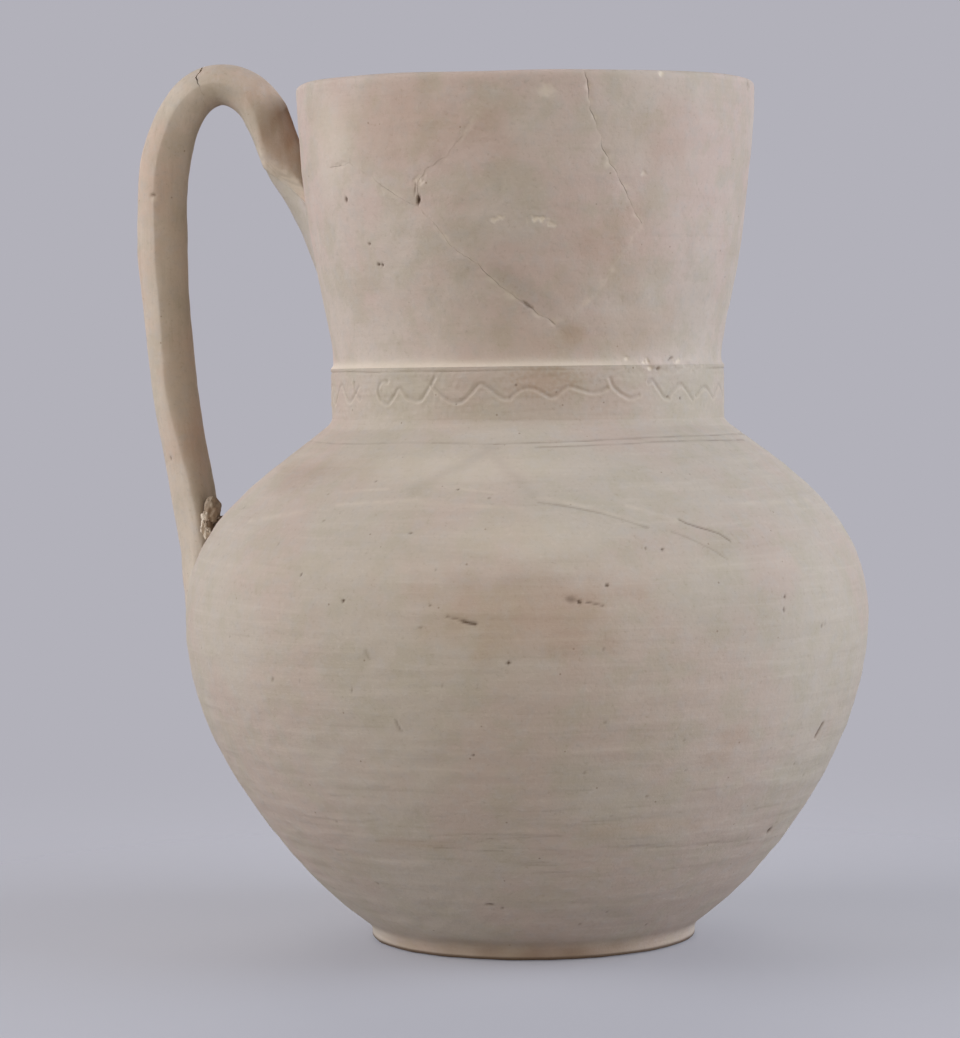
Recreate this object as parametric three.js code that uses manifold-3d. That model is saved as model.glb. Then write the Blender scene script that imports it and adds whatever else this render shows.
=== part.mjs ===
// An earthenware ewer: a round belly, a banded collar, a tall flared neck mended from
// sherds, and one handle that rises above the rim.
// Millimetres, +Z up. The origin is the middle of the flat base, and the handle lies in
// the XZ plane on the -X side. Angles around the axis are degrees from -Y towards +X.

import * as THREE from 'three';
import { mergeVertices } from 'three/addons/utils/BufferGeometryUtils.js';
import Module from 'manifold-3d';

const wasm = await Module();
wasm.setup();

// Belly: radii, heights and walls, then the slopes and reaches of its outline's curves
const footRadius = 51;
const footBeadHeight = 3.8;
const footBeadProud = 1;
const girthRadius = 108.6;
const girthHeight = 102;
const shoulderHeight = 163.6;
const bellyWall = 6;
const floorThickness = 7;
const footFlare = 35.7;
const footReach = 31.5;
const lowerGirthReach = 39.4;
const upperGirthReach = 33.3;
const shoulderSlope = 39.6;
const shoulderReach = 24;

// Collar: an upright band with a raised top edge over a groove
const collarRadius = 62.3;
const collarHeight = 17.2;
const collarWall = 6.5;
const collarRidgeHeight = 2.4;
const collarRidgeProud = 0.7;
const collarGroove = 0.6;

// Neck: its foot stands back from the collar by a ledge
const neckLedge = 1;
const neckHeight = 88.8;
const rimRadius = 72.7;
const rimFlare = 2.75;
const neckWall = 5.2;
const neckFootReach = 16.3;
const neckRimReach = 60;

// Joints: the thickness of slip or glue between two pieces
const jointGap = 0.3;

// Handle: its middle line starts in the belly's side below the girth, leans out to its
// farthest reach beside the neck, turns over a crest above the rim and round a bend,
// and runs down into the neck. Headings are degrees above level, away from the axis.
const footDrop = 5;
const footSink = 4;
const footHeading = 77.5;
const footEase = 44;
const footThickness = 11.5;
const footWidth = 20;
const limbOut = 21.2;
const limbDrop = 41.5;
const limbEase = 34;
const limbThickness = 16.5;
const crestOut = 27.3;
const crestRise = 3.3;
const crestEase = 10;
const crestThickness = 12.9;
const bendOut = 12.9;
const bendDrop = 6.3;
const bendHeading = 245;
const bendEase = 7;
const bendThickness = 14.2;
const handleWidth = 17;
const tailDrop = 60.5;
const tailSink = 5.5;
const tailHeading = 244.5;
const tailEase = 20;
const tailThickness = 9;
const tailWidth = 9;
const handleRoundness = 1.7;

// Handle: the break in its arch, before the crest and askew to the path by some degrees,
// and the crease above its smoothed tail
const breakBefore = 7.5;
const breakSkew = 25;
const breakHeight = 20;
const creaseDrop = 35;
const creaseSlope = 37.4;
const creaseLength = 30;

// Wad of clay on the front of the corner between the handle's foot and the shoulder
const wadRise = 34;
const wadInset = 6.3;
const wadForward = 5.5;
const wadDepth = 8;
const wadWidth = 13;
const wadHeight = 18;

// How finely round shapes are divided
const roundSteps = 64;
const bellySteps = 7;
const neckSteps = 6;
const lipSteps = 5;
const sectionSteps = 16;
const pathSteps = 8;
const wadSteps = 12;

// Sizes and heights that follow from those
const collarFoot = shoulderHeight + jointGap;
const collarTop = collarFoot + collarHeight;
const neckFoot = collarTop + jointGap;
const neckFootRadius = collarRadius - neckLedge;
const rimHeight = neckFoot + neckHeight;

const point = (radius, height) => new THREE.Vector2(radius, height);
const radians = THREE.MathUtils.degToRad;

function headed(start, degrees, length) {
  const turn = radians(degrees);
  return point(start.x + length * Math.cos(turn), start.y + length * Math.sin(turn));
}

function curve(start, startControl, endControl, end) {
  return new THREE.CubicBezierCurve(start, startControl, endControl, end);
}

// Outer outlines, as curves of radius and height
function lowerBellyCurve() {
  const start = point(footRadius, footBeadHeight);
  const end = point(girthRadius, girthHeight);
  return curve(start, headed(start, footFlare, footReach), headed(end, -90, lowerGirthReach), end);
}

function upperBellyCurve() {
  const start = point(girthRadius, girthHeight);
  const end = point(collarRadius, shoulderHeight);
  return curve(start, headed(start, 90, upperGirthReach), headed(end, -shoulderSlope, shoulderReach), end);
}

function neckCurve() {
  const start = point(neckFootRadius, neckFoot);
  const end = point(rimRadius, rimHeight - neckWall / 2);
  return curve(start, headed(start, 90, neckFootReach), headed(end, -90 - rimFlare, neckRimReach), end);
}

// The points of an outline moved inwards, square to it, by a wall
function innerPoints(outline, steps, wall) {
  const moved = [];
  for (let step = 0; step <= steps; step += 1) {
    const place = outline.getPoint(step / steps);
    const along = outline.getTangent(step / steps);
    moved.push(point(place.x - along.y * wall, place.y + along.x * wall));
  }
  return moved;
}

// The radius of a rising row of points at a height
function radiusAt(points, height) {
  const next = points.findIndex((place) => place.y > height);
  if (next === 0) {
    return points[0].x;
  }
  if (next < 0) {
    return points.at(-1).x;
  }
  const low = points[next - 1];
  const high = points[next];
  return THREE.MathUtils.mapLinear(height, low.y, high.y, low.x, high.x);
}

const lowerBelly = lowerBellyCurve().getPoints(bellySteps);
const upperBelly = upperBellyCurve().getPoints(bellySteps);
const bellyOutline = [...lowerBelly, ...upperBelly.slice(1)];
const neckOutline = neckCurve().getPoints(neckSteps);

// Solids from geometry, and geometry from solids
function toSolid(geometry) {
  const bare = geometry.clone();
  bare.deleteAttribute('normal');
  bare.deleteAttribute('uv');
  const merged = mergeVertices(bare);
  const vertProperties = new Float32Array(merged.attributes.position.array);
  const triVerts = new Uint32Array(merged.index.array);
  return new wasm.Manifold(new wasm.Mesh({ numProp: 3, vertProperties, triVerts }));
}

function toGeometry(solid) {
  const mesh = solid.getMesh();
  const geometry = new THREE.BufferGeometry();
  geometry.setAttribute('position', new THREE.BufferAttribute(mesh.vertProperties.slice(), 3));
  geometry.setIndex(new THREE.BufferAttribute(mesh.triVerts.slice(), 1));
  geometry.computeVertexNormals();
  return geometry;
}

function piecesBySize(solid) {
  return solid.decompose().sort((one, other) => other.volume() - one.volume());
}

// A round shape about the Z axis, from its outline of radius and height
function turned(outline) {
  const geometry = new THREE.LatheGeometry(outline, roundSteps);
  return toSolid(geometry.rotateX(Math.PI / 2));
}

// A closed skin over a row of rings that all have the same number of points
function skin(rings) {
  const count = rings[0].length;
  const faces = [];
  for (let here = 0; here + count < rings.length * count; here += count) {
    const there = here + count;
    for (let column = 0; column < count; column += 1) {
      const next = (column + 1) % count;
      faces.push(here + column, here + next, there + next);
      faces.push(here + column, there + next, there + column);
    }
  }
  const last = (rings.length - 1) * count;
  for (let column = 1; column + 1 < count; column += 1) {
    faces.push(0, column + 1, column);
    faces.push(last, last + column, last + column + 1);
  }
  const geometry = new THREE.BufferGeometry().setFromPoints(rings.flat());
  geometry.setIndex(faces);
  return toSolid(geometry);
}

// Belly: flat base with a proud edge, round wall, open shoulder
function makeBelly() {
  const bead = footBeadHeight / 4;
  const beadRadius = footRadius + footBeadProud;
  const outside = [
    point(0, 0),
    point(footRadius, 0),
    point(beadRadius, bead),
    point(beadRadius, footBeadHeight - bead),
    ...bellyOutline,
  ];
  const insideUp = [
    ...innerPoints(lowerBellyCurve(), bellySteps, bellyWall),
    ...innerPoints(upperBellyCurve(), bellySteps, bellyWall).slice(1),
  ];
  const floorEdge = point(radiusAt(insideUp, floorThickness), floorThickness);
  const inside = insideUp.filter((place) => place.y > floorThickness).reverse();
  const throat = point(collarRadius - collarWall, shoulderHeight);
  return turned([...outside, throat, ...inside, floorEdge, point(0, floorThickness)]);
}

// Collar: an upright ring, its raised edge rounded at the top
function makeCollar() {
  const ridgeFoot = collarTop - collarRidgeHeight;
  const ridgeRadius = collarRadius + collarRidgeProud;
  const inner = collarRadius - collarWall;
  const outline = [
    point(inner, collarFoot),
    point(collarRadius, collarFoot),
    point(collarRadius, ridgeFoot - collarGroove),
    point(collarRadius - collarGroove, ridgeFoot),
    point(ridgeRadius, ridgeFoot + collarGroove),
    point(ridgeRadius, collarTop - collarRidgeProud),
    point(collarRadius, collarTop),
    point(inner, collarTop),
  ];
  return turned([...outline, outline[0]]);
}

// Neck: a flared tube with a rounded lip
function makeNeck() {
  const inside = innerPoints(neckCurve(), neckSteps, neckWall).reverse();
  const lipStart = neckOutline.at(-1);
  const lipMiddle = lipStart.clone().lerp(inside[0], 0.5);
  const lip = [];
  for (let step = 1; step < lipSteps; step += 1) {
    lip.push(lipStart.clone().rotateAround(lipMiddle, (Math.PI * step) / lipSteps));
  }
  return turned([...neckOutline, ...lip, ...inside, neckOutline[0]]);
}

// Break lines of the neck, as angle around the axis and share of the neck's height.
// A line that reaches an edge of the neck runs past it by an overrun.
const breakOverrun = 4.4;
const pastRim = 1 + breakOverrun / neckHeight;
const pastFoot = -breakOverrun / neckHeight;
const kiteRight = [42.7, 0.475];
const kiteLeft = [-15.8, 0.54];
const kiteLow = [19.6, 0.14];
const breakLines = [
  [[25.8, pastRim], [27.4, 0.905], [30.4, 0.75], [33.5, 0.675], [40, 0.56], kiteRight],
  [[8.8, pastRim], [4.6, 0.9], [-0.9, 0.81], [-8.4, 0.69], [-15.5, 0.635], kiteLeft],
  [kiteLeft, [-11.1, 0.475], [-8.3, 0.4], [-0.8, 0.32], [7.5, 0.24], kiteLow],
  [kiteLow, [28.9, 0.235], [34, 0.305], [39.9, 0.43], kiteRight],
  [[-62, pastRim], [-53, 0.79], [-44.3, 0.695], [-36.4, 0.695], [-23.4, 0.605], kiteLeft],
  [kiteLow, [21.8, 0.08], [22.9, pastFoot]],
  [[118, pastRim], [124, 0.7], [119, 0.4], [130, pastFoot]],
  [[-128, pastRim], [-134, 0.65], [-127, 0.35], [-138, pastFoot]],
];

// One place on each sherd, in the same two measures
const sherdPlaces = {
  neck_sherd_front: [18, 0.6],
  neck_sherd_upper_left: [-25, 0.85],
  neck_sherd_lower_left: [-60, 0.4],
  neck_sherd_right: [75, 0.5],
  neck_sherd_back: [175, 0.5],
};

function aroundNeck([degrees, share], radius) {
  const turn = radians(degrees);
  const height = neckFoot + share * neckHeight;
  return new THREE.Vector3(radius * Math.sin(turn), -radius * Math.cos(turn), height);
}

// The two edges of a break line's gap, half a joint to each side of the line
function gapSides(line) {
  const degreesPerMillimetre = THREE.MathUtils.radToDeg(1 / neckFootRadius);
  return line.map((place, index) => {
    const before = line[Math.max(index - 1, 0)];
    const after = line[Math.min(index + 1, line.length - 1)];
    const across = (after[0] - before[0]) / degreesPerMillimetre;
    const up = (after[1] - before[1]) * neckHeight;
    const halfGap = jointGap / 2 / Math.hypot(across, up);
    const sideways = up * halfGap * degreesPerMillimetre;
    const upwards = -across * halfGap / neckHeight;
    return [
      [place[0] + sideways, place[1] + upwards],
      [place[0] - sideways, place[1] - upwards],
    ];
  });
}

// A break line as a thin wall that passes right through the neck. Both of its sides are
// split along the same diagonals, so that it keeps its thickness where it twists.
function breakWall(line) {
  const within = (neckFootRadius - neckWall) / 2;
  const beyond = rimRadius + neckWall;
  const places = [];
  for (const [one, other] of gapSides(line)) {
    places.push(aroundNeck(one, within), aroundNeck(one, beyond));
    places.push(aroundNeck(other, within), aroundNeck(other, beyond));
  }
  const corners = places.length / line.length;
  const last = places.length - corners;
  const quads = [[0, 1, 3, 2], [last, last + 2, last + 3, last + 1]];
  for (let here = 0; here < last; here += corners) {
    const there = here + corners;
    quads.push([here, there, there + 1, here + 1]);
    quads.push([here + 2, here + 3, there + 3, there + 2]);
    quads.push([here + 1, there + 1, there + 3, here + 3]);
    quads.push([here + 2, there + 2, there, here]);
  }
  const geometry = new THREE.BufferGeometry().setFromPoints(places);
  geometry.setIndex(quads.flatMap(([a, b, c, d]) => [a, b, c, a, c, d]));
  return toSolid(geometry);
}

// Sherds: the neck cut along its break lines, each piece known by a place on it
function makeSherds() {
  let broken = makeNeck();
  for (const line of breakLines) {
    broken = broken.subtract(breakWall(line));
  }
  const pieces = broken.decompose();
  const named = {};
  for (const [name, place] of Object.entries(sherdPlaces)) {
    const middle = radiusAt(neckOutline, neckFoot + place[1] * neckHeight) - neckWall / 2;
    const centre = aroundNeck(place, middle);
    const probe = toSolid(new THREE.IcosahedronGeometry(jointGap).translate(centre.x, centre.y, centre.z));
    named[name] = pieces.find((piece) => piece.intersect(probe).volume() > 0);
  }
  return named;
}

// Solid fillings of the belly and the neck, larger than they are by one joint, which
// shape whatever is pressed against them
function bellyFilling() {
  const grown = bellyOutline.map((place) => point(place.x + jointGap, place.y));
  return turned([point(0, 0), point(footRadius, 0), ...grown, point(0, shoulderHeight)]);
}

function neckFilling() {
  const grown = neckOutline.map((place) => point(place.x + jointGap, place.y));
  return turned([point(0, neckFoot), ...grown, point(rimRadius, rimHeight), point(0, rimHeight)]);
}

// Handle: the anchors of its middle line, each with its place, its heading, the length
// of curve that it commands on both sides, and the size of the section there
function handleAnchors() {
  const footHeight = girthHeight - footDrop;
  const tailHeight = rimHeight - tailDrop;
  const anchor = (place, heading, ease, thickness, width) => ({ place, heading, ease, thickness, width });
  const foot = point(radiusAt(bellyOutline, footHeight) - footSink, footHeight);
  const crest = point(rimRadius + crestOut, rimHeight + crestRise);
  const limb = point(crest.x + limbOut, rimHeight - limbDrop);
  const bend = point(rimRadius + bendOut, rimHeight - bendDrop);
  const tail = point(radiusAt(neckOutline, tailHeight) - tailSink, tailHeight);
  return [
    anchor(foot, footHeading, footEase, footThickness, footWidth),
    anchor(limb, 90, limbEase, limbThickness, handleWidth),
    anchor(crest, 180, crestEase, crestThickness, handleWidth),
    anchor(bend, bendHeading, bendEase, bendThickness, handleWidth),
    anchor(tail, tailHeading, tailEase, tailThickness, tailWidth),
  ];
}

// A lens-shaped ring about a place in the handle's plane, square to the path there
function lensRing(place, along, thickness, width) {
  const lens = (value) => Math.sign(value) * Math.abs(value) ** (2 / handleRoundness) / 2;
  const ring = [];
  for (let step = 0; step < sectionSteps; step += 1) {
    const turn = (2 * Math.PI * step) / sectionSteps;
    const across = lens(Math.cos(turn)) * thickness;
    const side = lens(Math.sin(turn)) * width;
    ring.push(new THREE.Vector3(-place.x - along.y * across, -side, place.y - along.x * across));
  }
  return ring;
}

// The stretches of the middle line from each anchor to the next
function handleStretches() {
  const anchors = handleAnchors();
  return anchors.slice(1).map((to, index) => {
    const from = anchors[index];
    const leaving = headed(from.place, from.heading, from.ease);
    const arriving = headed(to.place, to.heading + 180, to.ease);
    return { from, to, line: curve(from.place, leaving, arriving, to.place) };
  });
}

// The whole handle before it is cut, made thicker all over by a growth
function handleBar(growth) {
  const rings = [];
  for (const { from, to, line } of handleStretches()) {
    for (let step = rings.length === 0 ? 0 : 1; step <= pathSteps; step += 1) {
      const share = step / pathSteps;
      const thickness = THREE.MathUtils.lerp(from.thickness, to.thickness, share) + 2 * growth;
      const width = THREE.MathUtils.lerp(from.width, to.width, share) + 2 * growth;
      rings.push(lensRing(line.getPoint(share), line.getTangent(share), thickness, width));
    }
  }
  return skin(rings);
}

// The gap at the break: a thin slab across the arch, short enough to miss the limbs below
function breakGap() {
  const arch = handleStretches()[1].line;
  const share = 1 - breakBefore / arch.getLength();
  const place = arch.getPointAt(share);
  const along = arch.getTangentAt(share);
  const slab = new THREE.BoxGeometry(jointGap, 2 * handleWidth, breakHeight);
  slab.rotateY(Math.atan2(-along.y, -along.x) + radians(breakSkew));
  return toSolid(slab.translate(-place.x, 0, place.y));
}

// The gap at the crease: a thin slab that rises away from the neck
function creaseGap() {
  const height = rimHeight - creaseDrop;
  const slab = new THREE.BoxGeometry(creaseLength, 2 * handleWidth, jointGap);
  slab.translate(-creaseLength / 3, 0, 0);
  slab.rotateY(radians(creaseSlope));
  return toSolid(slab.translate(-radiusAt(neckOutline, height), 0, height));
}

function makeHandle() {
  const shaped = handleBar(0).subtract(bellyFilling()).subtract(neckFilling());
  const pieces = piecesBySize(shaped.subtract(breakGap()).subtract(creaseGap()));
  return {
    handle_long_limb: pieces[0],
    handle_short_limb: pieces[1],
    handle_root_web: pieces[2],
  };
}

// Wad: a pressed lump, shaped by the belly and the handle that it lies against
function makeWad() {
  const height = girthHeight - footDrop + wadRise;
  const lowerLimb = handleStretches()[0].line.getPoints(pathSteps);
  const out = radiusAt(lowerLimb, height) - wadInset;
  const lump = new THREE.SphereGeometry(0.5, wadSteps, wadSteps);
  lump.scale(wadDepth, wadWidth, wadHeight);
  lump.translate(-out, -wadForward, height);
  const pressed = toSolid(lump).subtract(bellyFilling()).subtract(handleBar(jointGap));
  return piecesBySize(pressed)[0];
}

const colours = {
  belly: '#b9aa98',
  collar: '#b5a593',
  neck_sherd_front: '#b8a391',
  neck_sherd_upper_left: '#b5a08e',
  neck_sherd_lower_left: '#b7a593',
  neck_sherd_right: '#b6a190',
  neck_sherd_back: '#b5a391',
  handle_long_limb: '#b7a796',
  handle_short_limb: '#b3a190',
  handle_root_web: '#aea08f',
  handle_foot_wad: '#9c8468',
};

const solids = {
  belly: makeBelly(),
  collar: makeCollar(),
  ...makeSherds(),
  ...makeHandle(),
  handle_foot_wad: makeWad(),
};

const ewer = new THREE.Group();
for (const [name, solid] of Object.entries(solids)) {
  const clay = new THREE.MeshStandardMaterial({ color: colours[name], roughness: 0.9, metalness: 0 });
  const mesh = new THREE.Mesh(toGeometry(solid), clay);
  mesh.name = name;
  ewer.add(mesh);
}

export default ewer;
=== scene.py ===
"""An earthenware ewer, mended from sherds, as it stands in a plain pale studio.

Shapes are worked out in millimetres and degrees, and become metres when a mesh is made.
The axis is Z, and angles around it are degrees from -Y towards +X. The handle lies in
the XZ plane on the -X side.
"""

import math

import bpy
import numpy as np
from mathutils import Matrix, Vector
from mathutils.geometry import delaunay_2d_cdt


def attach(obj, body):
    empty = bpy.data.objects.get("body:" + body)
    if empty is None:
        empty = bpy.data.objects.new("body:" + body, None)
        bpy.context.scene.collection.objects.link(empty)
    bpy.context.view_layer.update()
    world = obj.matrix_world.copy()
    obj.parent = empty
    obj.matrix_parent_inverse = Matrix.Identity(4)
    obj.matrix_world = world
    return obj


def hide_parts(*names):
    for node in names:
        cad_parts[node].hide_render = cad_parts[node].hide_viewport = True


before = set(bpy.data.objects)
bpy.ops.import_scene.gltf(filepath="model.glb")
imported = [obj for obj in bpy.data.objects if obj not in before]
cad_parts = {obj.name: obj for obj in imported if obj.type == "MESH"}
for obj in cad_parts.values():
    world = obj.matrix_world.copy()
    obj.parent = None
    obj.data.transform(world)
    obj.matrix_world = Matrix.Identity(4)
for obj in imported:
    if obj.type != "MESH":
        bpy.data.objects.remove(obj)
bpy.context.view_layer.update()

METRES = 0.001
FAR = 1e9

# What is laid on the points of a piece, for its material to read: soil and painted shade, chalk and painted
# highlights, and warm stains
MARKS = ("soil", "chalk", "warm")

# Camera, fitted to the photograph's frame
FRAME_HEIGHT_PIXELS = 1038
FOCUS_PIXELS = 3294
SENSOR = 36
CAMERA_AZIMUTH = 12.03
CAMERA_DISTANCE = 1050
CAMERA_HEIGHT = 177.9
CAMERA_PAN = 0.856
CAMERA_TILT = 2.455
CAMERA_ROLL = 0.688

# Belly
FOOT_RADIUS = 51.0
FOOT_HEIGHT = 3.9
FOOT_PROUD = 0.6
FOOT_EDGE = 0.9
FOOT_STEP = 0.25
FOOT_FLARE = 35.7
FOOT_REACH = 31.5
COVE_RISE = 2.5
COVE_LEAVING = (96, 3.2)
COVE_ARRIVING = (216, 3.0)
GIRTH_RADIUS = 108.6
GIRTH_HEIGHT = 102.0
GIRTH_REACH_BELOW = 39.4
GIRTH_REACH_ABOVE = 33.3
SHOULDER_HEIGHT = 163.6
SHOULDER_SLOPE = 39.6
SHOULDER_REACH = 24.0
BELLY_WALL = 6.0
FLOOR_THICKNESS = 7.0
LEAN_ANGLE = CAMERA_AZIMUTH - 90
LEAN = 1.4
LEAN_HEIGHT = 95.0
LEAN_REACH = 45.0

# Collar
COLLAR_RADIUS = 62.3
COLLAR_WALL = 6.5
COLLAR_FOOT = 163.9
COLLAR_TOP = 181.1
COLLAR_FILLET = 4.0
COLLAR_SEAT = 0.08
RIDGE_FOOT = 180.3
RIDGE_PROUD = 0.18
RIDGE_GROOVE_HEIGHT = 179.9
RIDGE_GROOVE_DEPTH = 0.18
RIDGE_GROOVE_REACH = 0.25
RIDGE_EDGE = (0.35, 0.3)
RIDGE_WANDER = 0.1
RIDGE_UNEVEN = 0.05
RIDGE_CHIP = 0.3
# Painted shade in the groove under the ridge
RIDGE_GROOVE_SHADE = 0.1

# Angles between which the ridge is worn, and chipped, and how much that takes off it and its groove
RIDGE_WORN = (-6, 14, 36, 52)
RIDGE_WORN_OFF = 0.4
GROOVE_WORN_OFF = 0.8
RIDGE_CHIPPED = (36, 46, 72, 80)
RIDGE_CHIPPED_OFF = 0.45
GROOVE_CHIPPED_OFF = 0.6

# Neck
NECK_FOOT_RADIUS = 61.3
NECK_FOOT = 181.2
NECK_WALL = 5.2
NECK_FOOT_REACH = 16.3
NECK_SPACING = 0.8
NECK_COVE_REACH = 2.2
NECK_LEDGE = 0.55
NECK_LEDGE_REACH = 0.45
NECK_LEDGE_WORN = 0.6
# Painted highlight along the ledge at the neck's foot: strength, how far up it reaches, and the angles it
# spans
NECK_LEDGE_HIGHLIGHT = 0.7
NECK_LEDGE_HIGHLIGHT_REACH = 2.0
NECK_LEDGE_HIGHLIGHT_TURN = (-150, -110, 25, 60)
RIM_RADIUS = 72.4
RIM_HEIGHT = 270.2
RIM_FLARE = 2.75
RIM_REACH = 60
RIM_DIP = 1.6
RIM_WAVE = 0.25
LIP_SQUARENESS = 0.55
LIP_STEPS = 12


# Outlines and noise


def headed(place, degrees, length):
    """The place reached from another by going some way at degrees above level."""
    turn = math.radians(degrees)
    return place[0] + length * math.cos(turn), place[1] + length * math.sin(turn)


def bezier(start, leaving, arriving, end, count=120):
    """Points along a cubic curve."""
    share = np.linspace(0, 1, count)[:, None]
    rest = 1 - share
    weights = (rest**3, 3 * rest**2 * share, 3 * rest * share**2, share**3)
    places = (start, leaving, arriving, end)
    return sum(weight * np.array(place) for weight, place in zip(weights, places))


def lengths_along(outline):
    """How far along an outline each of its points is."""
    steps = np.linalg.norm(np.diff(outline, axis=0), axis=1)
    return np.concatenate([[0], np.cumsum(steps)])


def at_lengths(outline, places):
    """The points of an outline at some distances along it."""
    along = lengths_along(outline)
    return np.stack([np.interp(places, along, column) for column in outline.T], axis=1)


def resampled(outline, spacing):
    """An outline's points, set at an even spacing."""
    length = lengths_along(outline)[-1]
    return at_lengths(outline, np.linspace(0, length, max(2, round(length / spacing) + 1)))


def graded(low, high, density, count):
    """Places from low to high, closer together where the density is greater."""
    fine = np.linspace(low, high, 4001)
    weight = density(fine)
    place = np.concatenate([[0], np.cumsum(weight[1:] + weight[:-1])])
    return np.interp(np.linspace(0, place[-1], count), place, fine)


def outline_normals(outline):
    """Unit directions square to an outline, on its right when going along it."""
    along = np.gradient(outline, axis=0)
    along /= np.linalg.norm(along, axis=1, keepdims=True)
    return np.stack([along[:, 1], -along[:, 0]], axis=1)


def smooth(low, high, value):
    """A smooth step from 0 at low to 1 at high, which may be the smaller of the two."""
    share = np.clip((value - low) / (high - low), 0, 1)
    return share * share * (3 - 2 * share)


def between(start, full, last, end, value):
    """A smooth rise from 0 at start to 1 at full, and a fall from 1 at last to 0 at end."""
    return smooth(start, full, value) * smooth(end, last, value)


def bell(distance, reach):
    """A soft bump: 1 at no distance, and next to nothing at twice its reach."""
    return np.exp(-((distance / reach) ** 2))


def around(angle, radius, height):
    """Points at angles, radii and heights about the axis."""
    turn = np.radians(angle)
    return np.stack(np.broadcast_arrays(radius * np.sin(turn), -radius * np.cos(turn), height), axis=-1)


def angle_apart(angle, other):
    """Degrees from one angle to another, the short way round."""
    return (angle - other + 180) % 360 - 180


def rough(points, seed, size, stretch=(1, 1, 1), waves=28):
    """Smooth noise of about unit strength, from waves that run in random directions."""
    rng = np.random.default_rng(seed)
    ways = rng.normal(size=(waves, 3))
    ways /= np.linalg.norm(ways, axis=1, keepdims=True)
    ways *= 2 * np.pi / (size * rng.uniform(0.7, 1.5, (waves, 1)))
    starts = rng.uniform(0, 2 * np.pi, waves)
    return np.cos((points * np.array(stretch)) @ ways.T + starts).sum(-1) * math.sqrt(2 / waves)


def belly_outline():
    """Radius and height up the outside of the belly, from under its foot to the collar."""
    turn = np.radians(np.linspace(-90, 0, 10))[:, None]
    middle = np.array([FOOT_RADIUS + FOOT_PROUD - FOOT_EDGE, FOOT_EDGE])
    edge = middle + FOOT_EDGE * np.concatenate([np.cos(turn), np.sin(turn)], axis=1)
    foot = (FOOT_RADIUS + FOOT_STEP, FOOT_HEIGHT)
    girth = (GIRTH_RADIUS, GIRTH_HEIGHT)
    shoulder = (COLLAR_RADIUS, SHOULDER_HEIGHT)
    leaving = headed(foot, FOOT_FLARE, FOOT_REACH)
    lower = bezier(foot, leaving, headed(girth, -90, GIRTH_REACH_BELOW), girth)
    lower = lower[lower[:, 1] > FOOT_HEIGHT + COVE_RISE]
    leaving = headed(edge[-1], *COVE_LEAVING)
    cove = bezier(edge[-1], leaving, headed(lower[0], *COVE_ARRIVING), lower[0], 24)
    arriving = headed(shoulder, -SHOULDER_SLOPE, SHOULDER_REACH)
    upper = bezier(girth, headed(girth, 90, GIRTH_REACH_ABOVE), arriving, shoulder)
    run = COLLAR_FILLET * math.tan(math.radians(90 - SHOULDER_SLOPE) / 2)
    upper = upper[lengths_along(upper) < lengths_along(upper)[-1] - run]
    top = (COLLAR_RADIUS - COLLAR_SEAT, SHOULDER_HEIGHT + run)
    leaving = headed(upper[-1], 180 - SHOULDER_SLOPE, run / 2)
    fillet = bezier(upper[-1], leaving, headed(top, -90, run / 2), top, 12)
    return np.concatenate([edge, cove[1:], lower[1:], upper[1:], fillet[1:]])


BELLY = belly_outline()
BELLY_RISE = BELLY[BELLY[:, 1] > FOOT_HEIGHT]


def belly_lean(height):
    """How far the belly leans to one side at a height."""
    return LEAN * bell(height - LEAN_HEIGHT, LEAN_REACH)


def belly_radius(angle, height):
    """The belly's outside radius, with its lean."""
    lean = belly_lean(height) * np.cos(np.radians(angle - LEAN_ANGLE))
    return np.interp(height, BELLY_RISE[:, 1], BELLY_RISE[:, 0]) + lean


def neck_outlines():
    """Matching points up the outside and the inside of the neck, to the top of its lip."""
    foot = (NECK_FOOT_RADIUS, NECK_FOOT)
    end = (RIM_RADIUS, RIM_HEIGHT - NECK_WALL / 2)
    arriving = headed(end, -90 - RIM_FLARE, RIM_REACH)
    outer = resampled(bezier(foot, headed(foot, 90, NECK_FOOT_REACH), arriving, end), NECK_SPACING)
    inner = outer - NECK_WALL * outline_normals(outer)
    turn = np.radians(np.linspace(0, 90, LIP_STEPS + 1))[1:, None]
    middle = (outer[-1] + inner[-1]) / 2
    rise = np.concatenate([np.cos(turn), np.sin(turn)], axis=1) ** LIP_SQUARENESS * NECK_WALL / 2
    return np.concatenate([outer, middle + rise]), np.concatenate([inner, middle + rise * (-1, 1)])


NECK_OUTER, NECK_INNER = neck_outlines()
NECK_ALONG = lengths_along(NECK_OUTER)
NECK_LENGTH = NECK_ALONG[-1]


def neck_radius(height):
    return np.interp(height, NECK_OUTER[:, 1], NECK_OUTER[:, 0])


# Meshes


# An edge that turns by more degrees than this stays sharp
SHARP_TURN = 50


def ring_faces(rows, columns):
    """Quads of a grid of points whose columns close into rings."""
    row, column = np.meshgrid(np.arange(rows - 1), np.arange(columns), indexing="ij")
    here = row * columns + column
    beside = row * columns + (column + 1) % columns
    return np.stack([here, beside, beside + columns, here + columns], axis=-1).reshape(-1, 4)


def closed_rings(grid):
    """Points and faces of a stack of rings, with a face over each end."""
    rows, count = grid.shape[:2]
    faces = ring_faces(rows, count).tolist()
    faces.append(list(range(count))[::-1])
    faces.append(list(range((rows - 1) * count, rows * count)))
    return grid.reshape(-1, 3), faces


def add_object(name, data):
    """A new object in the scene, for a mesh, a lamp or a camera."""
    made = bpy.data.objects.new(name, data)
    bpy.context.scene.collection.objects.link(made)
    return made


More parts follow.
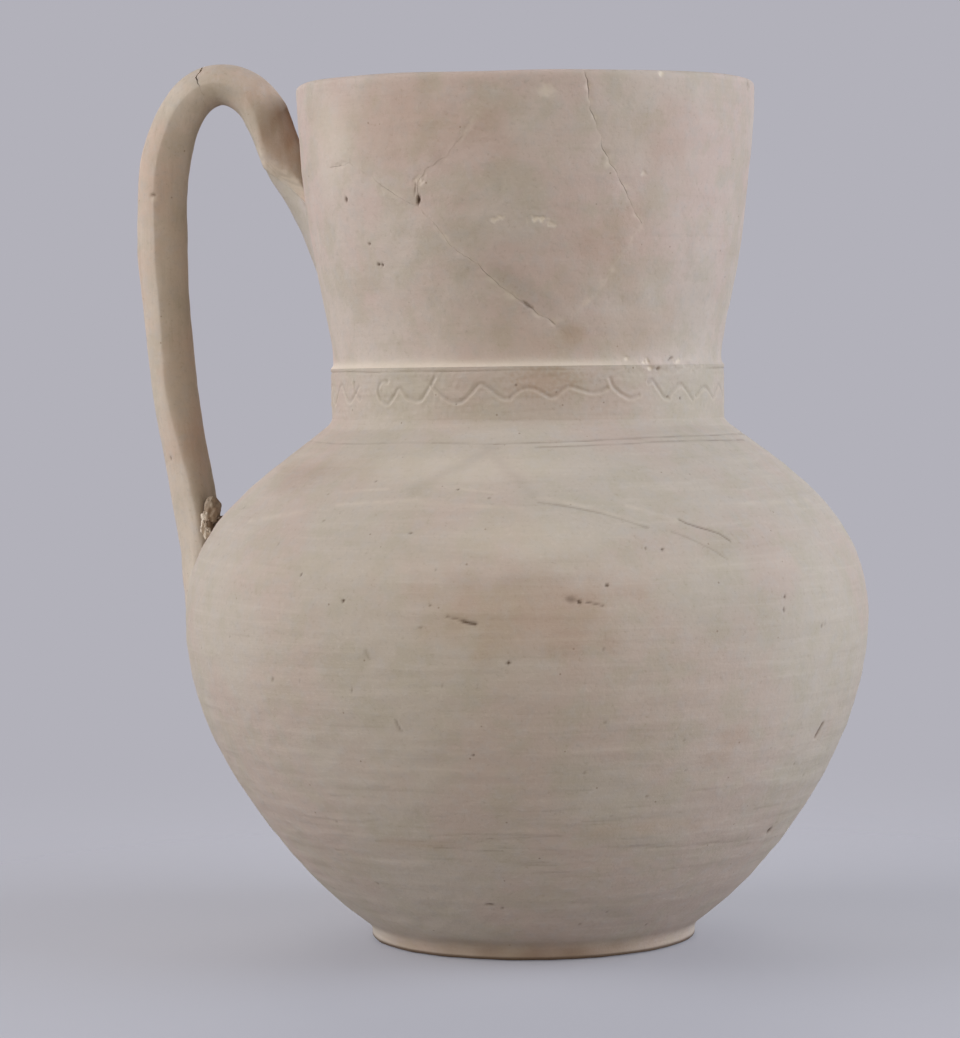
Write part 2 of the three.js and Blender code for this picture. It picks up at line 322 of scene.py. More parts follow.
def make_piece(name, points, faces, material, slot, **marks):
    """A smooth mesh that stands for the node of its own name, with its marks as attributes."""
    mesh = bpy.data.meshes.new(name)
    mesh.from_pydata((points * METRES).tolist(), [], faces)
    mesh.update()
    mesh.shade_smooth()
    mesh.set_sharp_from_angle(angle=math.radians(SHARP_TURN))
    for label in MARKS:
        held = mesh.attributes.new(label, "FLOAT", "POINT")
        if label in marks:
            held.data.foreach_set("value", np.clip(marks[label].ravel(), 0, 1).astype(np.float32))
    mesh.materials.append(material)
    piece = add_object(name + "_clay", mesh)
    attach(piece, "root")
    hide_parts(name)


# Columns of points are sparse out of sight, and closest at the scratches, at this angle
# from the camera's own
SPARSE = 0.3
SEEN_TURN = (105, 75)
CLOSER = 0.5
FINE_TURN = 32
FINE_REACH = 8


def column_angles(count):
    """Angles right round the axis, closer together on the side that the camera sees."""
    def density(turn):
        closer = CLOSER * bell(turn - FINE_TURN, FINE_REACH)
        return SPARSE + smooth(*SEEN_TURN, np.abs(turn)) + closer
    return graded(-180, 180, density, count + 1)[:-1] + CAMERA_AZIMUTH


# Size of chance pits, how cloudy stains are, how the edges of chips break up, and how long
# worn and fresh lengths of a stroke are
CHANCE_PIT_SIZE = (0.5, 1.0)
STAIN_RAGGED = 0.25
STAIN_GRAIN = 12
CHIP_GRAIN = 1.6
WORN_LENGTH = 9

# Where the burr and the painted highlight under a stroke are and how far they reach, in widths of the
# stroke
BURR_PLACE = 0.8
BURR_REACH = 0.45


class Surface:
    """Relief and marks over a turned surface, at angles and at distances up its outline."""

    def __init__(self, angle, along, radius_at, up_to, points):
        self.angle, self.along, self.points = angle, along, points
        self.radius_at, self.up_to = radius_at, up_to
        self.radius = radius_at(along)
        self.relief = np.zeros(points.shape[:-1])
        self.soil = np.zeros_like(self.relief)
        self.chalk = np.zeros_like(self.relief)
        self.warm = np.zeros_like(self.relief)

    def waves(self, rows, weight=1.0):
        """Adds unevenness, from rows of strength, seed, size and stretch."""
        for strength, *noise in rows:
            self.relief += strength * rough(self.points, *noise) * weight

    def mark(self, weight, depth=0.0, soil=0.0, chalk=0.0, warm=0.0):
        """Presses a mark in by its weight, and lays soil and painted shade, chalk and painted highlights,
        and warm stains in it.
        """
        self.relief -= depth * weight
        self.soil = np.maximum(self.soil, soil * weight)
        self.chalk = np.maximum(self.chalk, chalk * weight)
        self.warm = np.maximum(self.warm, warm * weight)

    def local(self, angle, along, tilt=0.0):
        """Millimetres across and up from a place, turned by a tilt."""
        across = np.radians(angle_apart(self.angle, angle)) * self.radius
        up = self.along - along
        turn = math.radians(tilt)
        return across * math.cos(turn) + up * math.sin(turn), up * math.cos(turn) - across * math.sin(turn)

    def dent(self, angle, height, length, width, tilt=0.0, ragged=0.0, grain=CHIP_GRAIN, **amounts):
        """An oval mark, broken up at its edges where it is ragged."""
        along = self.up_to(height)
        across, up = self.local(angle, along, tilt)
        far = np.hypot(2 * across / length, 2 * up / width)
        if ragged:
            far = far + ragged * rough(self.points, round(10 * along), grain)
        self.mark(np.exp(-np.clip(far, 0, None) ** 3), **amounts)

    def stain(self, angle, height, length, width, warm):
        """A cloudy warm stain."""
        self.dent(angle, height, length, width, ragged=STAIN_RAGGED, grain=STAIN_GRAIN, warm=warm)

    def chance_pits(self, seed, count, low, high, steepness, soil):
        """Small pits, scattered between two heights."""
        rng = np.random.default_rng(seed)
        for _ in range(count):
            angle, height = rng.uniform(-180, 180), rng.uniform(low, high)
            size = rng.uniform(*CHANCE_PIT_SIZE)
            self.dent(angle, height, size, size, depth=steepness * size, soil=soil)

    def stroke(self, places, width, burr=0.0, lip=0.0, worn=0.0, **amounts):
        """A groove along a row of places, faint where worn, with a burr and a painted highlight on the lip
        under it.
        """
        row = [(angle, self.up_to(height)) for angle, height in places]
        nearest = np.full(self.relief.shape, FAR)
        side = np.zeros_like(nearest)
        for start, end in zip(row[:-1], row[1:]):
            across, up = self.local(*start)
            run = math.radians(angle_apart(end[0], start[0])) * float(self.radius_at(start[1]))
            rise = end[1] - start[1]
            share = np.clip((across * run + up * rise) / (run * run + rise * rise), 0, 1)
            distance = np.hypot(across - share * run, up - share * rise)
            closer = distance < nearest
            nearest = np.where(closer, distance, nearest)
            side = np.where(closer, up - share * rise, side)
        faint = 1 - worn * np.clip(0.5 + 0.6 * rough(self.points, len(row), WORN_LENGTH), 0, 1)
        self.mark(bell(2 * nearest, width) * faint, **amounts)
        under = bell(nearest - BURR_PLACE * width, BURR_REACH * width) * (side < 0)
        self.relief += burr * under
        # Painted highlight on the lip under the groove
        self.chalk = np.maximum(self.chalk, lip * under)

    def padded(self, before, after):
        """The marks, with clean rows before and after them."""
        return {name: np.pad(getattr(self, name), ((before, after), (0, 0))) for name in MARKS}


# Belly


# Points of the belly, and heights where rows are closer, by how much: trimmed, marked and at the foot
BELLY_ROWS = 344
BELLY_COLUMNS = 720
TRIMMED_HEIGHTS = (10, 16, 74, 82)
TRIMMED_CLOSER = 0.9
MARKED_HEIGHTS = (88, 98)
MARKED_CLOSER = 1.1
LOWEST_HEIGHTS = (7, 4)
LOWEST_CLOSER = 1.5

# Inside and underneath: spacing of points, rings on the floor and the base, and the mouth's edge
INSIDE_SPACING = 5
FLOOR_CORNER = 6
FLOOR_RINGS = (30, 10)
BASE_RINGS = (12.0, 38.0)
MOUTH_EDGE = (1.0, 0.6)
MOUTH_DEPTH = 0.4

# Unevenness of the belly's wall, of its foot and all over: strength, seed, size and stretch
WALL_HEIGHTS = (4, 14)
WALL_WAVES = ((0.3, 11, 70), (0.04, 12, 7, (0.1, 0.1, 1)), (0.02, 13, 2.6, (0.08, 0.08, 1)))
FOOT_WAVES = ((0.04, 15, 11),)
BELLY_WAVES = ((0.04, 14, 9),)
BELLY_FADE = 4

# Chance pits: seed, count, lowest and highest, steepness and soil
BELLY_CHANCE_PITS = (21, 60, 8, 156, 0.2, 0.4)

# Pits are pressed a little smaller and shallower than they are written
PIT_SIZE = 0.75
PIT_DEPTH = 0.7

# How worn dark and pale scratches are
DARK_WORN = 0.2
PALE_WORN = 0.6

# Short chance lines where the belly was trimmed, with limits of angle, height, half length and soil
DASH_SEED = 24
DASH_COUNT = 44
DASH_WIDTH = 0.55
DASH_DEPTH = 0.05
DASH_RISE = 0.3
DASH_LIMITS = ((-60, 85), (26, 62), (1.2, 4.5), (0.06, 0.17))

# Width and wear of the lines on the shoulder
SHOULDER_LINE_WIDTH = 0.7
SHOULDER_LINE_WORN = 0.5

# Painted contact shadow where the base touches down, and painted shade over a warm stain on the foot's near
# side
CONTACT_SHADE_HEIGHTS = (1.6, 0.7)
CONTACT_SHADE = 0.85
FOOT_SHADE_AND_STAIN_HEIGHTS = (8, 2)
FOOT_SHADE_AND_STAIN_TURN = (80, 15)
FOOT_SHADE = 0.46
FOOT_STAIN_WARM = 0.5

# Pits seen on the belly: angle, height, length, width, depth, tilt and soil
BELLY_PITS = (
    (18.9, 114.0, 4.4, 2.6, 0.4, -10, 0.5),
    (20.2, 113.3, 2.2, 1.4, 0.5, -30, 1.0),
    (24.7, 117.9, 1.4, 1.4, 0.6, 0, 1.0),
    (9.4, 96.1, 1.5, 1.4, 0.6, 0, 1.0),
    (23.9, 99.6, 1.0, 1.0, 0.3, 0, 0.4),
    (-17.7, 113.5, 1.5, 1.4, 0.6, 0, 1.0),
    (-26.9, 120.5, 0.9, 1.6, 0.5, 0, 0.7),
    (-32.1, 89.5, 1.2, 0.9, 0.4, 0, 0.5),
    (-26.2, 89.8, 0.9, 0.9, 0.4, 0, 0.5),
    (-8.3, 133.3, 1.5, 1.1, 0.4, 0, 0.6),
    (-2.8, 112.7, 0.9, 0.9, 0.4, 0, 0.6),
    (32.0, 128.2, 1.0, 0.9, 0.4, 0, 0.7),
    (35.0, 127.8, 1.3, 1.0, 0.5, 0, 0.9),
    (57.5, 112.1, 1.2, 1.5, 0.5, 0, 0.9),
    (56.9, 108.3, 1.2, 2.2, 0.5, 0, 0.7),
    (66.9, 102.3, 1.2, 1.8, 0.4, 0, 0.5),
    (71.0, 38.2, 2.3, 3.0, 0.6, 0, 0.9),
    (1.2, 19.8, 3.6, 1.2, 0.6, -10, 0.8),
    (4.2, 18.4, 1.5, 1.0, 0.5, 0, 0.6),
    (-1.7, 145.4, 1.1, 0.9, 0.4, 0, 0.8),
    (4.8, 142.8, 1.0, 0.9, 0.4, 0, 0.7),
    (-20.6, 147.3, 1.0, 0.9, 0.4, 0, 0.6),
    (3.0, 68.9, 1.1, 1.0, 0.4, 0, 0.8),
    (-2.5, 122.9, 0.9, 0.9, 0.3, 0, 0.4),
)

# Scratches on the belly, and two bands of painted shade along the shoulder's silhouettes: rows of angle and
# height, then width, depth, soil and chalk
BELLY_SCRATCHES = (
    (((40.1, 136.3), (41.4, 135.1), (44.9, 133.2), (47.1, 131.9), (48.9, 129.5)), 0.7, 0.35, 0.55, 0),
    (((37.7, 132.8), (40.2, 131.2), (44.0, 127.8), (46.8, 124.2)), 0.8, 0.15, 0.22, 0),
    (((-0.1, 109.4), (1.5, 108.8), (2.7, 107.9)), 0.5, 0.3, 0.5, 0),
    (((2.4, 108.1), (3.4, 107.6), (4.4, 107.3)), 0.9, 0.5, 1.0, 0),
    (((21.2, 113.3), (22.4, 112.8), (23.9, 112.1)), 0.5, 0.3, 0.6, 0),
    (((-13.4, 99.4), (-12.8, 96.8)), 0.8, 0.2, 0.22, 0),
    (((-9.4, 78.6), (-8.7, 75.4)), 0.8, 0.3, 0.45, 0),
    (((71.2, 67.9), (72.3, 71.6)), 1.2, 0.6, 0.85, 0),
    (((14.0, 141.5), (19.5, 140.2), (25.3, 138.4), (33.7, 134.1)), 0.8, 0.1, 0.3, 0),
    (((14.1, 142.9), (23.1, 139.9), (32.2, 135.3)), 2.0, -0.04, 0, 0.28),
    (((30.8, 140.2), (39.7, 136.4)), 1.6, -0.03, 0, 0.24),
    (((-26.1, 140.6), (-9.6, 142.3), (11.6, 139.6)), 1.6, -0.03, 0, 0.24),
    (((-27.7, 144.3), (-16.7, 145.3)), 1.4, -0.03, 0, 0.24),
    (((-8.2, 146.5), (6.4, 144.4)), 1.2, -0.03, 0, 0.22),
    (((-49.5, 135.3), (-34.7, 138.3)), 2.2, -0.03, 0, 0.22),
    (((55.7, 139.9), (82.0, 139.0)), 1.8, -0.03, 0, 0.2),
    (((-47.1, 121.8), (-21.6, 123.3), (-0.2, 123.8), (17.4, 123.2), (37.3, 122.6), (63.4, 121.7)),
     7.0, 0, 0, 0.12),
    (((0.0, 119.3), (9.5, 119.5), (18.9, 119.5)), 4.0, 0, 0.07, 0),
    (((3.1, 156.1), (-4.8, 150.7), (-11.6, 145.1)), 5.0, 0, 0.11, 0),
    (((3.1, 156.1), (9.4, 149.2), (13.1, 143.5)), 4.0, 0, 0.1, 0),
    # Painted shade along the shoulder's left and right silhouettes
    (((-70.0, 158.0), (-75.0, 150.0), (-78.0, 141.0)), 12.0, 0, 0.14, 0),
    (((97.0, 158.0), (100.0, 150.0), (101.0, 141.0)), 6.0, 0, 0.14, 0),
    (((-7.9, 42.9), (2.2, 44.0), (17.5, 43.3)), 0.7, 0.06, 0.14, 0),
    (((25.6, 39.5), (48.7, 37.6), (69.2, 36.1)), 0.7, 0.08, 0.13, 0),
    (((-39.1, 46.1), (-22.4, 46.1), (-17.9, 47.3)), 0.7, 0.06, 0.13, 0),
    (((5.7, 39.5), (19.6, 38.6)), 0.7, 0.06, 0.14, 0),
    (((36.0, 30.6), (58.5, 30.1)), 0.7, 0.06, 0.1, 0),
    (((-11.8, 35.4), (-0.9, 34.7)), 0.7, 0.06, 0.14, 0),
)

# Smudges and pale patches on the belly: angle, height, length, width, soil and chalk
BELLY_SMUDGES = (
    (3.1, 157.0, 7.0, 4.0, 0.12, 0),
    (13.1, 143.5, 5.0, 4.0, 0.1, 0),
    # A darker patch on the left shoulder, beside the handle
    (-44.0, 148.0, 40.0, 14.0, 0.1, 0),
    (-30.0, 119.0, 72.0, 44.0, 0.045, 0),
    (50.0, 108.0, 50.0, 28.0, 0.08, 0),
    (50.0, 127.0, 26.0, 18.0, 0.06, 0),
    (-3.0, 151.0, 66.0, 16.0, 0, 0.26),
    (12.6, 131.0, 44.0, 16.0, 0, 0.22),
)

# Warm stains on the belly: angle, height, length, width and strength
BELLY_STAINS = (
    (11.5, 109.5, 56.0, 24.0, 0.32),
    # A darker warm patch on the left shoulder, beside the handle
    (-40.0, 150.0, 52.0, 16.0, 0.15),
    (48.0, 72.0, 11.0, 8.0, 0.2),
    (46.0, 66.0, 14.0, 6.0, 0.16),
    (35.0, 45.0, 30.0, 5.0, 0.2),
    (-12.0, 40.0, 24.0, 4.0, 0.2),
)

# Lines turned into the belly's shoulder: rows of angle and height, then depth and soil
SHOULDER_LINES = (
    (((-190, 158.4), (-120, 158.2), (-50, 158.3), (-20, 158.5), (3.7, 158.0), (24.1, 158.6)), 0.2, 0.22),
    (((3.7, 158.0), (24.1, 158.6), (36.6, 159.1), (54.4, 159.4), (69.8, 159.3), (120, 158.8), (165, 158.4)),
     0.25, 0.36),
    (((13.8, 156.9), (34.1, 157.5), (46.1, 157.9), (60.9, 157.9), (85.1, 157.2)), 0.2, 0.36),
)


def scattered_dashes():
    """Short chance lines where the belly was trimmed: angle, height, half length and soil."""
    rng = np.random.default_rng(DASH_SEED)
    for _ in range(DASH_COUNT):
        yield [rng.uniform(*limits) for limits in DASH_LIMITS]


def mark_belly(surface):
    """Pits, scratches, smudges, stains and lines on the belly."""
    for angle, height, length, width, depth, tilt, soil in BELLY_PITS:
        size = PIT_SIZE * length, PIT_SIZE * width
        surface.dent(angle, height, *size, tilt, depth=PIT_DEPTH * depth, soil=soil)
    surface.chance_pits(*BELLY_CHANCE_PITS)
    for places, width, depth, soil, chalk in BELLY_SCRATCHES:
        worn = DARK_WORN if soil else PALE_WORN
        surface.stroke(places, width, worn=worn, depth=depth, soil=soil, chalk=chalk)
    for angle, height, reach, soil in scattered_dashes():
        row = ((angle - reach, height), (angle + reach, height + DASH_RISE))
        surface.stroke(row, DASH_WIDTH, depth=DASH_DEPTH, soil=soil)
    for angle, height, length, width, soil, chalk in BELLY_SMUDGES:
        surface.dent(angle, height, length, width, soil=soil, chalk=chalk)
    for stain in BELLY_STAINS:
        surface.stain(*stain)
    for places, depth, soil in SHOULDER_LINES:
        surface.stroke(places, SHOULDER_LINE_WIDTH, worn=SHOULDER_LINE_WORN, depth=depth, soil=soil)


def belly_surface(columns, outline):
    """The relief and marks of the belly's outside."""
    along = lengths_along(outline)
    rise = np.maximum.accumulate(outline[:, 1])
    level = outline[:, 1:]
    points = around(columns[None, :], outline[:, :1], level)

    def radius_at(place):
        return np.interp(place, along, outline[:, 0])

    def up_to(height):
        return float(np.interp(height, rise, along))

    surface = Surface(columns[None, :], along[:, None], radius_at, up_to, points)
    wall = smooth(*WALL_HEIGHTS, level)
    surface.waves(WALL_WAVES, wall)
    surface.waves(BELLY_WAVES)
    surface.waves(FOOT_WAVES, 1 - wall)
    surface.relief *= smooth(BELLY[-1, 1], BELLY[-1, 1] - BELLY_FADE, level)
    mark_belly(surface)
    # Painted contact shadow round the bottom edge, where the base touches down
    surface.mark(smooth(*CONTACT_SHADE_HEIGHTS, level) * np.ones_like(columns), soil=CONTACT_SHADE)
    # Painted shade on the side of the foot that faces the camera, over a warm stain
    front = smooth(*FOOT_SHADE_AND_STAIN_TURN, np.abs(angle_apart(columns, CAMERA_AZIMUTH)))
    patchy = np.clip(0.95 + 0.2 * rough(points, 17, 14), 0, 1.2)
    foot = smooth(*FOOT_SHADE_AND_STAIN_HEIGHTS, level) * patchy * front
    surface.mark(foot, soil=FOOT_SHADE, warm=FOOT_STAIN_WARM)
    return surface


def belly_inside():
    """Radius and height down the inside of the belly, from its mouth to the floor's middle."""
    rise = resampled(BELLY_RISE[BELLY_RISE[:, 1] < SHOULDER_HEIGHT], INSIDE_SPACING)
    wall = rise - BELLY_WALL * outline_normals(rise)
    wall = wall[wall[:, 1] > FLOOR_THICKNESS][::-1]
    throat = COLLAR_RADIUS - COLLAR_WALL
    edge = (throat + MOUTH_EDGE[0], BELLY[-1, 1] - MOUTH_EDGE[1])
    mouth = [edge, (throat, SHOULDER_HEIGHT - MOUTH_DEPTH)]
    floor = [(radius, FLOOR_THICKNESS) for radius in (wall[-1, 0] - FLOOR_CORNER, *FLOOR_RINGS)]
    return np.concatenate([mouth, wall, floor])


def make_belly(material):
    def density(along):
        height = np.interp(along, lengths_along(BELLY), BELLY[:, 1])
        trimmed = TRIMMED_CLOSER * between(*TRIMMED_HEIGHTS, height)
        marked = MARKED_CLOSER * smooth(*MARKED_HEIGHTS, height)
        return 1 + trimmed + marked + LOWEST_CLOSER * smooth(*LOWEST_HEIGHTS, height)

    outline = at_lengths(BELLY, graded(0, lengths_along(BELLY)[-1], density, BELLY_ROWS))
    columns = column_angles(BELLY_COLUMNS)
    surface = belly_surface(columns, outline)
    normals = outline_normals(outline)
    radius = outline[:, :1] + normals[:, :1] * surface.relief
    height = outline[:, 1:] + normals[:, 1:] * surface.relief
    outside = around(columns[None, :], radius, height)
    outside += around(LEAN_ANGLE, belly_lean(outline[:, 1]), 0)[:, None, :]
    inside = belly_inside()
    inner = around(columns[None, :], inside[:, :1], inside[:, 1:])
    base = around(columns[None, :], np.array(BASE_RINGS)[:, None], 0.0)
    points, faces = closed_rings(np.concatenate([base, outside, inner]))
    marks = surface.padded(len(base), len(inner))
    make_piece("belly", points, faces, material, "body_clay", **marks)


# Collar


# The wavy line as it is drawn at the front: strokes of angle and height
WAVE_STROKES = (
    ((-47.6, 177.2), (-46.6, 174.0), (-44.0, 171.8)),
    ((-31.1, 177.1), (-33.6, 176.9), (-35.0, 174.8), (-34.2, 172.0), (-31.4, 170.4), (-29.0, 172.4),
     (-27.2, 174.7), (-25.4, 174.4), (-23.6, 172.3), (-21.2, 171.3), (-18.9, 171.7),
     (-17.0, 174.5), (-14.8, 178.0)),
    ((-15.4, 175.9), (-11.8, 172.6), (-9.5, 171.0), (-7.4, 170.6), (-5.3, 171.9), (-2.7, 174.8),
     (-0.9, 176.1), (1.2, 175.0), (4.7, 172.0), (7.1, 171.4)),
    ((7.1, 172.0), (9.6, 174.0), (11.5, 174.7), (13.9, 174.5), (16.2, 173.2), (18.4, 172.0), (20.2, 172.7),
     (22.0, 174.5), (23.7, 175.0), (26.4, 174.2), (29.6, 173.2), (32.2, 173.3), (34.6, 174.6)),
    ((35.5, 177.2), (36.5, 174.8), (38.6, 172.8), (41.6, 171.4), (44.6, 172.2)),
    ((48.0, 176.0), (49.6, 176.6), (51.6, 174.1), (53.8, 171.4), (55.6, 171.1)),
    ((55.8, 172.2), (58.8, 174.5), (61.2, 175.0), (63.6, 173.2), (66.6, 170.6)),
    ((68.6, 171.6), (72.0, 173.8), (74.3, 174.2), (76.6, 173.0), (79.6, 171.0), (83.0, 173.4),
     (86.1, 174.8), (92.0, 170.6)),
)
WAVE_MIDDLE = 173.4
WAVE_RISE = 2.9
WAVE_STEP = 6.6
WAVE_WIDTH = 1.2
WAVE_DEPTH = 0.28
WAVE_BURR = 0.13
# A painted highlight on the lip under the wavy line, and painted shade in its groove
WAVE_LIP_HIGHLIGHT = 0.17
WAVE_GROOVE_SHADE = 0.1

# Where the wavy line isn't seen: its angles, how it varies, and how many turns a stroke has
WAVE_BACK = (98, 318)
WAVE_VARIES = (0.7, 1.1)
WAVE_TURNS = 7

# Points of the collar, how it laps over the belly and meets the neck, and its inner edge
COLLAR_ROWS = 66
COLLAR_COLUMNS = 1150
COLLAR_LAP = 0.6
COLLAR_JOINT = 0.02
COLLAR_TOP_INSET = 0.9
COLLAR_BEVEL = 0.8

# Unevenness of the collar, which fades at its edges: strength, seed, size and stretch
COLLAR_WAVES = ((0.12, 41, 22), (0.04, 42, 4, (0.15, 0.15, 1)), (0.03, 43, 2.2))
COLLAR_TOP_FADE = (0.2, 2)
COLLAR_FOOT_FADE = 4

# Chance pits: seed, count, lowest and highest, steepness and soil
COLLAR_CHANCE_PITS = (22, 10, 166, 178, 0.3, 0.5)

# Where the ridge has crumbled
CRUMBLED_HEIGHT = 180.0
CRUMBLED_REACH = 1.1
CRUMBLED_DEPTH = 0.25
CRUMBLED_CHALK = 0.2

# A stain and two chips: angle, height, length, width, ragged edge, depth, soil, chalk and warmth
COLLAR_MARKS = (
    (17.0, 176.5, 20.0, 9.0, 0.2, 0.0, 0.0, 0.0, 0.34),
    (49.0, 180.1, 2.2, 1.2, 0.2, 0.3, 0.0, 0.8, 0.0),
    (51.6, 180.0, 1.3, 1.1, 0.0, 0.4, 0.45, 0.0, 0.0),
)


def through(places, steps=8):
    """A smooth row of places through a few given ones."""
    places = np.array(places)
    ends = np.concatenate([2 * places[:1] - places[1:2], places, 2 * places[-1:] - places[-2:-1]])
    share = np.linspace(0, 1, steps, endpoint=False)[:, None]
    runs = []
    for before, here, there, after in zip(ends[:-3], ends[1:-2], ends[2:-1], ends[3:]):
        bend = (2 * before - 5 * here + 4 * there - after) * share**2
        twist = (3 * here - before - 3 * there + after) * share**3
        runs.append((2 * here + (there - before) * share + bend + twist) / 2)
    return np.concatenate([*runs, places[-1:]])


def wave_round_the_back():
    """The wavy line where the photograph doesn't show it, in a few long strokes."""
    rng = np.random.default_rng(31)
    angles = np.arange(*WAVE_BACK, WAVE_STEP)
    count = len(angles)
    rise = WAVE_RISE * np.where(np.arange(count) % 2, 1, -1) * rng.uniform(*WAVE_VARIES, count)
    places = list(zip(angles + rng.uniform(-1, 1, count), WAVE_MIDDLE + rise))
    return [places[start:start + WAVE_TURNS + 1] for start in range(0, count - 2, WAVE_TURNS)]


def ridge_wear(angle):
    """How worn and how chipped the ridge under the neck is, from 0 to 1."""
    turn = angle_apart(angle, 0)
    return between(*RIDGE_WORN, turn), between(*RIDGE_CHIPPED, turn)


def ridge_proud(angle):
    """How far the ridge under the neck stands out from the collar."""
    worn, chipped = ridge_wear(angle)
    ring = around(angle, COLLAR_RADIUS, 0)
    chips = np.clip(rough(ring, 44, 5), 0, None) * chipped
    left = 1 - RIDGE_WORN_OFF * worn - RIDGE_CHIPPED_OFF * chipped
    return RIDGE_PROUD * left + RIDGE_UNEVEN * rough(ring, 45, 12) - RIDGE_CHIP * chips


def collar_surface(columns, heights):
    """The relief and marks of the collar's outside."""
    level = heights[:, None]
    points = around(columns[None, :], COLLAR_RADIUS, level)

    def radius_at(place):
        return np.full_like(place, COLLAR_RADIUS)

    surface = Surface(columns[None, :], level, radius_at, float, points)
    surface.waves(COLLAR_WAVES)
    surface.relief *= smooth(NECK_FOOT - COLLAR_TOP_FADE[0], NECK_FOOT - COLLAR_TOP_FADE[1], level)
    surface.relief *= smooth(COLLAR_FOOT, COLLAR_FOOT + COLLAR_FOOT_FADE, level)

    worn, chipped = ridge_wear(columns)
    wander = RIDGE_WANDER * rough(around(columns, COLLAR_RADIUS, 0), 46, 40)
    edge = smooth(RIDGE_FOOT - RIDGE_EDGE[0], RIDGE_FOOT + RIDGE_EDGE[1], level - wander)
    surface.relief += ridge_proud(columns) * edge
    groove = bell(level - RIDGE_GROOVE_HEIGHT - wander, RIDGE_GROOVE_REACH)
    left = 1 - GROOVE_WORN_OFF * worn - GROOVE_CHIPPED_OFF * chipped
    # The groove under the ridge, pressed in and darkened with painted shade
    surface.mark(groove * left, depth=RIDGE_GROOVE_DEPTH, soil=RIDGE_GROOVE_SHADE)
    crumbled = bell(level - CRUMBLED_HEIGHT, CRUMBLED_REACH) * chipped
    crumbs = np.clip(rough(points, 47, 3.2) - 0.4, 0, None)
    surface.mark(crumbled * crumbs, depth=CRUMBLED_DEPTH, chalk=CRUMBLED_CHALK)

    # The wavy line, with painted shade in its grooves and a painted highlight under them
    for stroke in [*WAVE_STROKES, *wave_round_the_back()]:
        surface.stroke(through(stroke), WAVE_WIDTH, WAVE_BURR, WAVE_LIP_HIGHLIGHT, depth=WAVE_DEPTH, soil=WAVE_GROOVE_SHADE)
    surface.chance_pits(*COLLAR_CHANCE_PITS)
    for angle, height, length, width, ragged, depth, soil, chalk, warm in COLLAR_MARKS:
        amounts = {"depth": depth, "soil": soil, "chalk": chalk, "warm": warm}
        surface.dent(angle, height, length, width, ragged=ragged, **amounts)
    return surface


def make_collar(material):
    heights = np.linspace(COLLAR_FOOT - COLLAR_LAP, NECK_FOOT - COLLAR_JOINT, COLLAR_ROWS)
    columns = column_angles(COLLAR_COLUMNS)
    surface = collar_surface(columns, heights)
    outside = around(columns[None, :], COLLAR_RADIUS + surface.relief, heights[:, None])
    inner = COLLAR_RADIUS - COLLAR_WALL
    rest = np.array([
        (COLLAR_RADIUS - COLLAR_TOP_INSET, NECK_FOOT - COLLAR_JOINT),
        (inner + COLLAR_BEVEL, COLLAR_TOP),
        (inner, COLLAR_TOP - COLLAR_BEVEL),
        (inner, COLLAR_FOOT),
        (COLLAR_RADIUS - COLLAR_LAP, COLLAR_FOOT - COLLAR_LAP),
    ])
    grid = np.concatenate([outside, around(columns[None, :], rest[:, :1], rest[:, 1:]), outside[:1]])
    rows, count = grid.shape[:2]
    faces = ring_faces(rows, count) % ((rows - 1) * count)
    points = grid[:-1].reshape(-1, 3)
    make_piece("collar", points, faces.tolist(), material, "body_clay", **surface.padded(0, len(rest)))


# Neck, mended from sherds


RIM = 1.0
FOOT = 0.0
KITE_RIGHT = (42.7, 0.475)
KITE_LEFT = (-15.8, 0.54)
KITE_LOW = (19.6, 0.14)

# Break lines: angle and share of the neck's height, the gap at each end, and chalk and painted edge
# highlights along the edges.
# The last is the seam at the back, where the neck is unrolled from.
BREAK_LINES = (
    (((26.2, RIM), (27.4, 0.9), (31.2, 0.72), (37.4, 0.585), (40.8, 0.505), KITE_RIGHT), (0.17, 0.1), 0.35),
    (((8.4, RIM), (4.8, 0.9), (-1.1, 0.8), (-7.7, 0.71), (-15.5, 0.635), KITE_LEFT), (0.0, 0.02), 0.1),
    ((KITE_LEFT, (-11.1, 0.475), (-8, 0.41), (-2.6, 0.36), (5, 0.27), (12.3, 0.2), KITE_LOW),
     (0.0, 0.12), 0.3),
    ((KITE_LOW, (29.3, 0.215), (35.7, 0.335), (40.9, 0.445), KITE_RIGHT), (0.0, 0.0), 0.3),
    (((-60, RIM), (-53, 0.79), (-46, 0.69), (-36.9, 0.7), (-29.3, 0.645), (-25, 0.6), KITE_LEFT),
     (0.0, 0.08), 0.15),
    ((KITE_LOW, (21.8, 0.08), (22.9, FOOT)), (0.0, 0.0), 0.08),
    (((-128, RIM), (-134, 0.65), (-127, 0.35), (-138, FOOT)), (0.1, 0.1), 0.2),
    (((118, RIM), (124, 0.7), (119, 0.4), (130, FOOT)), (0.1, 0.1), 0.2),
)

# One place on each sherd, and how far it stands proud at its middle, its right and its top
SHERDS = {
    "neck_sherd_front": ((18, 0.6), (0.02, 0.08, 0.03)),
    "neck_sherd_upper_left": ((-25, 0.85), (0.05, -0.05, 0.0)),
    "neck_sherd_lower_left": ((-60, 0.4), (0.03, 0.0, 0.0)),
    "neck_sherd_right": ((75, 0.5), (-0.05, 0.0, -0.02)),
    "neck_sherd_back": ((-185, 0.5), (0.0, 0.0, 0.0)),
}
MILLIMETRES_PER_DEGREE = math.radians(68)
FULL_TURN = 360 * MILLIMETRES_PER_DEGREE

# How far across and up a sherd reaches its full tilt, and how near its breaks and the foot
TILT_TURN = 25
TILT_RISE = 35
TILT_NEAR = (16, 4)
TILT_ABOVE_FOOT = (0, 12)
RIM_DIP_STARTS = 0.55

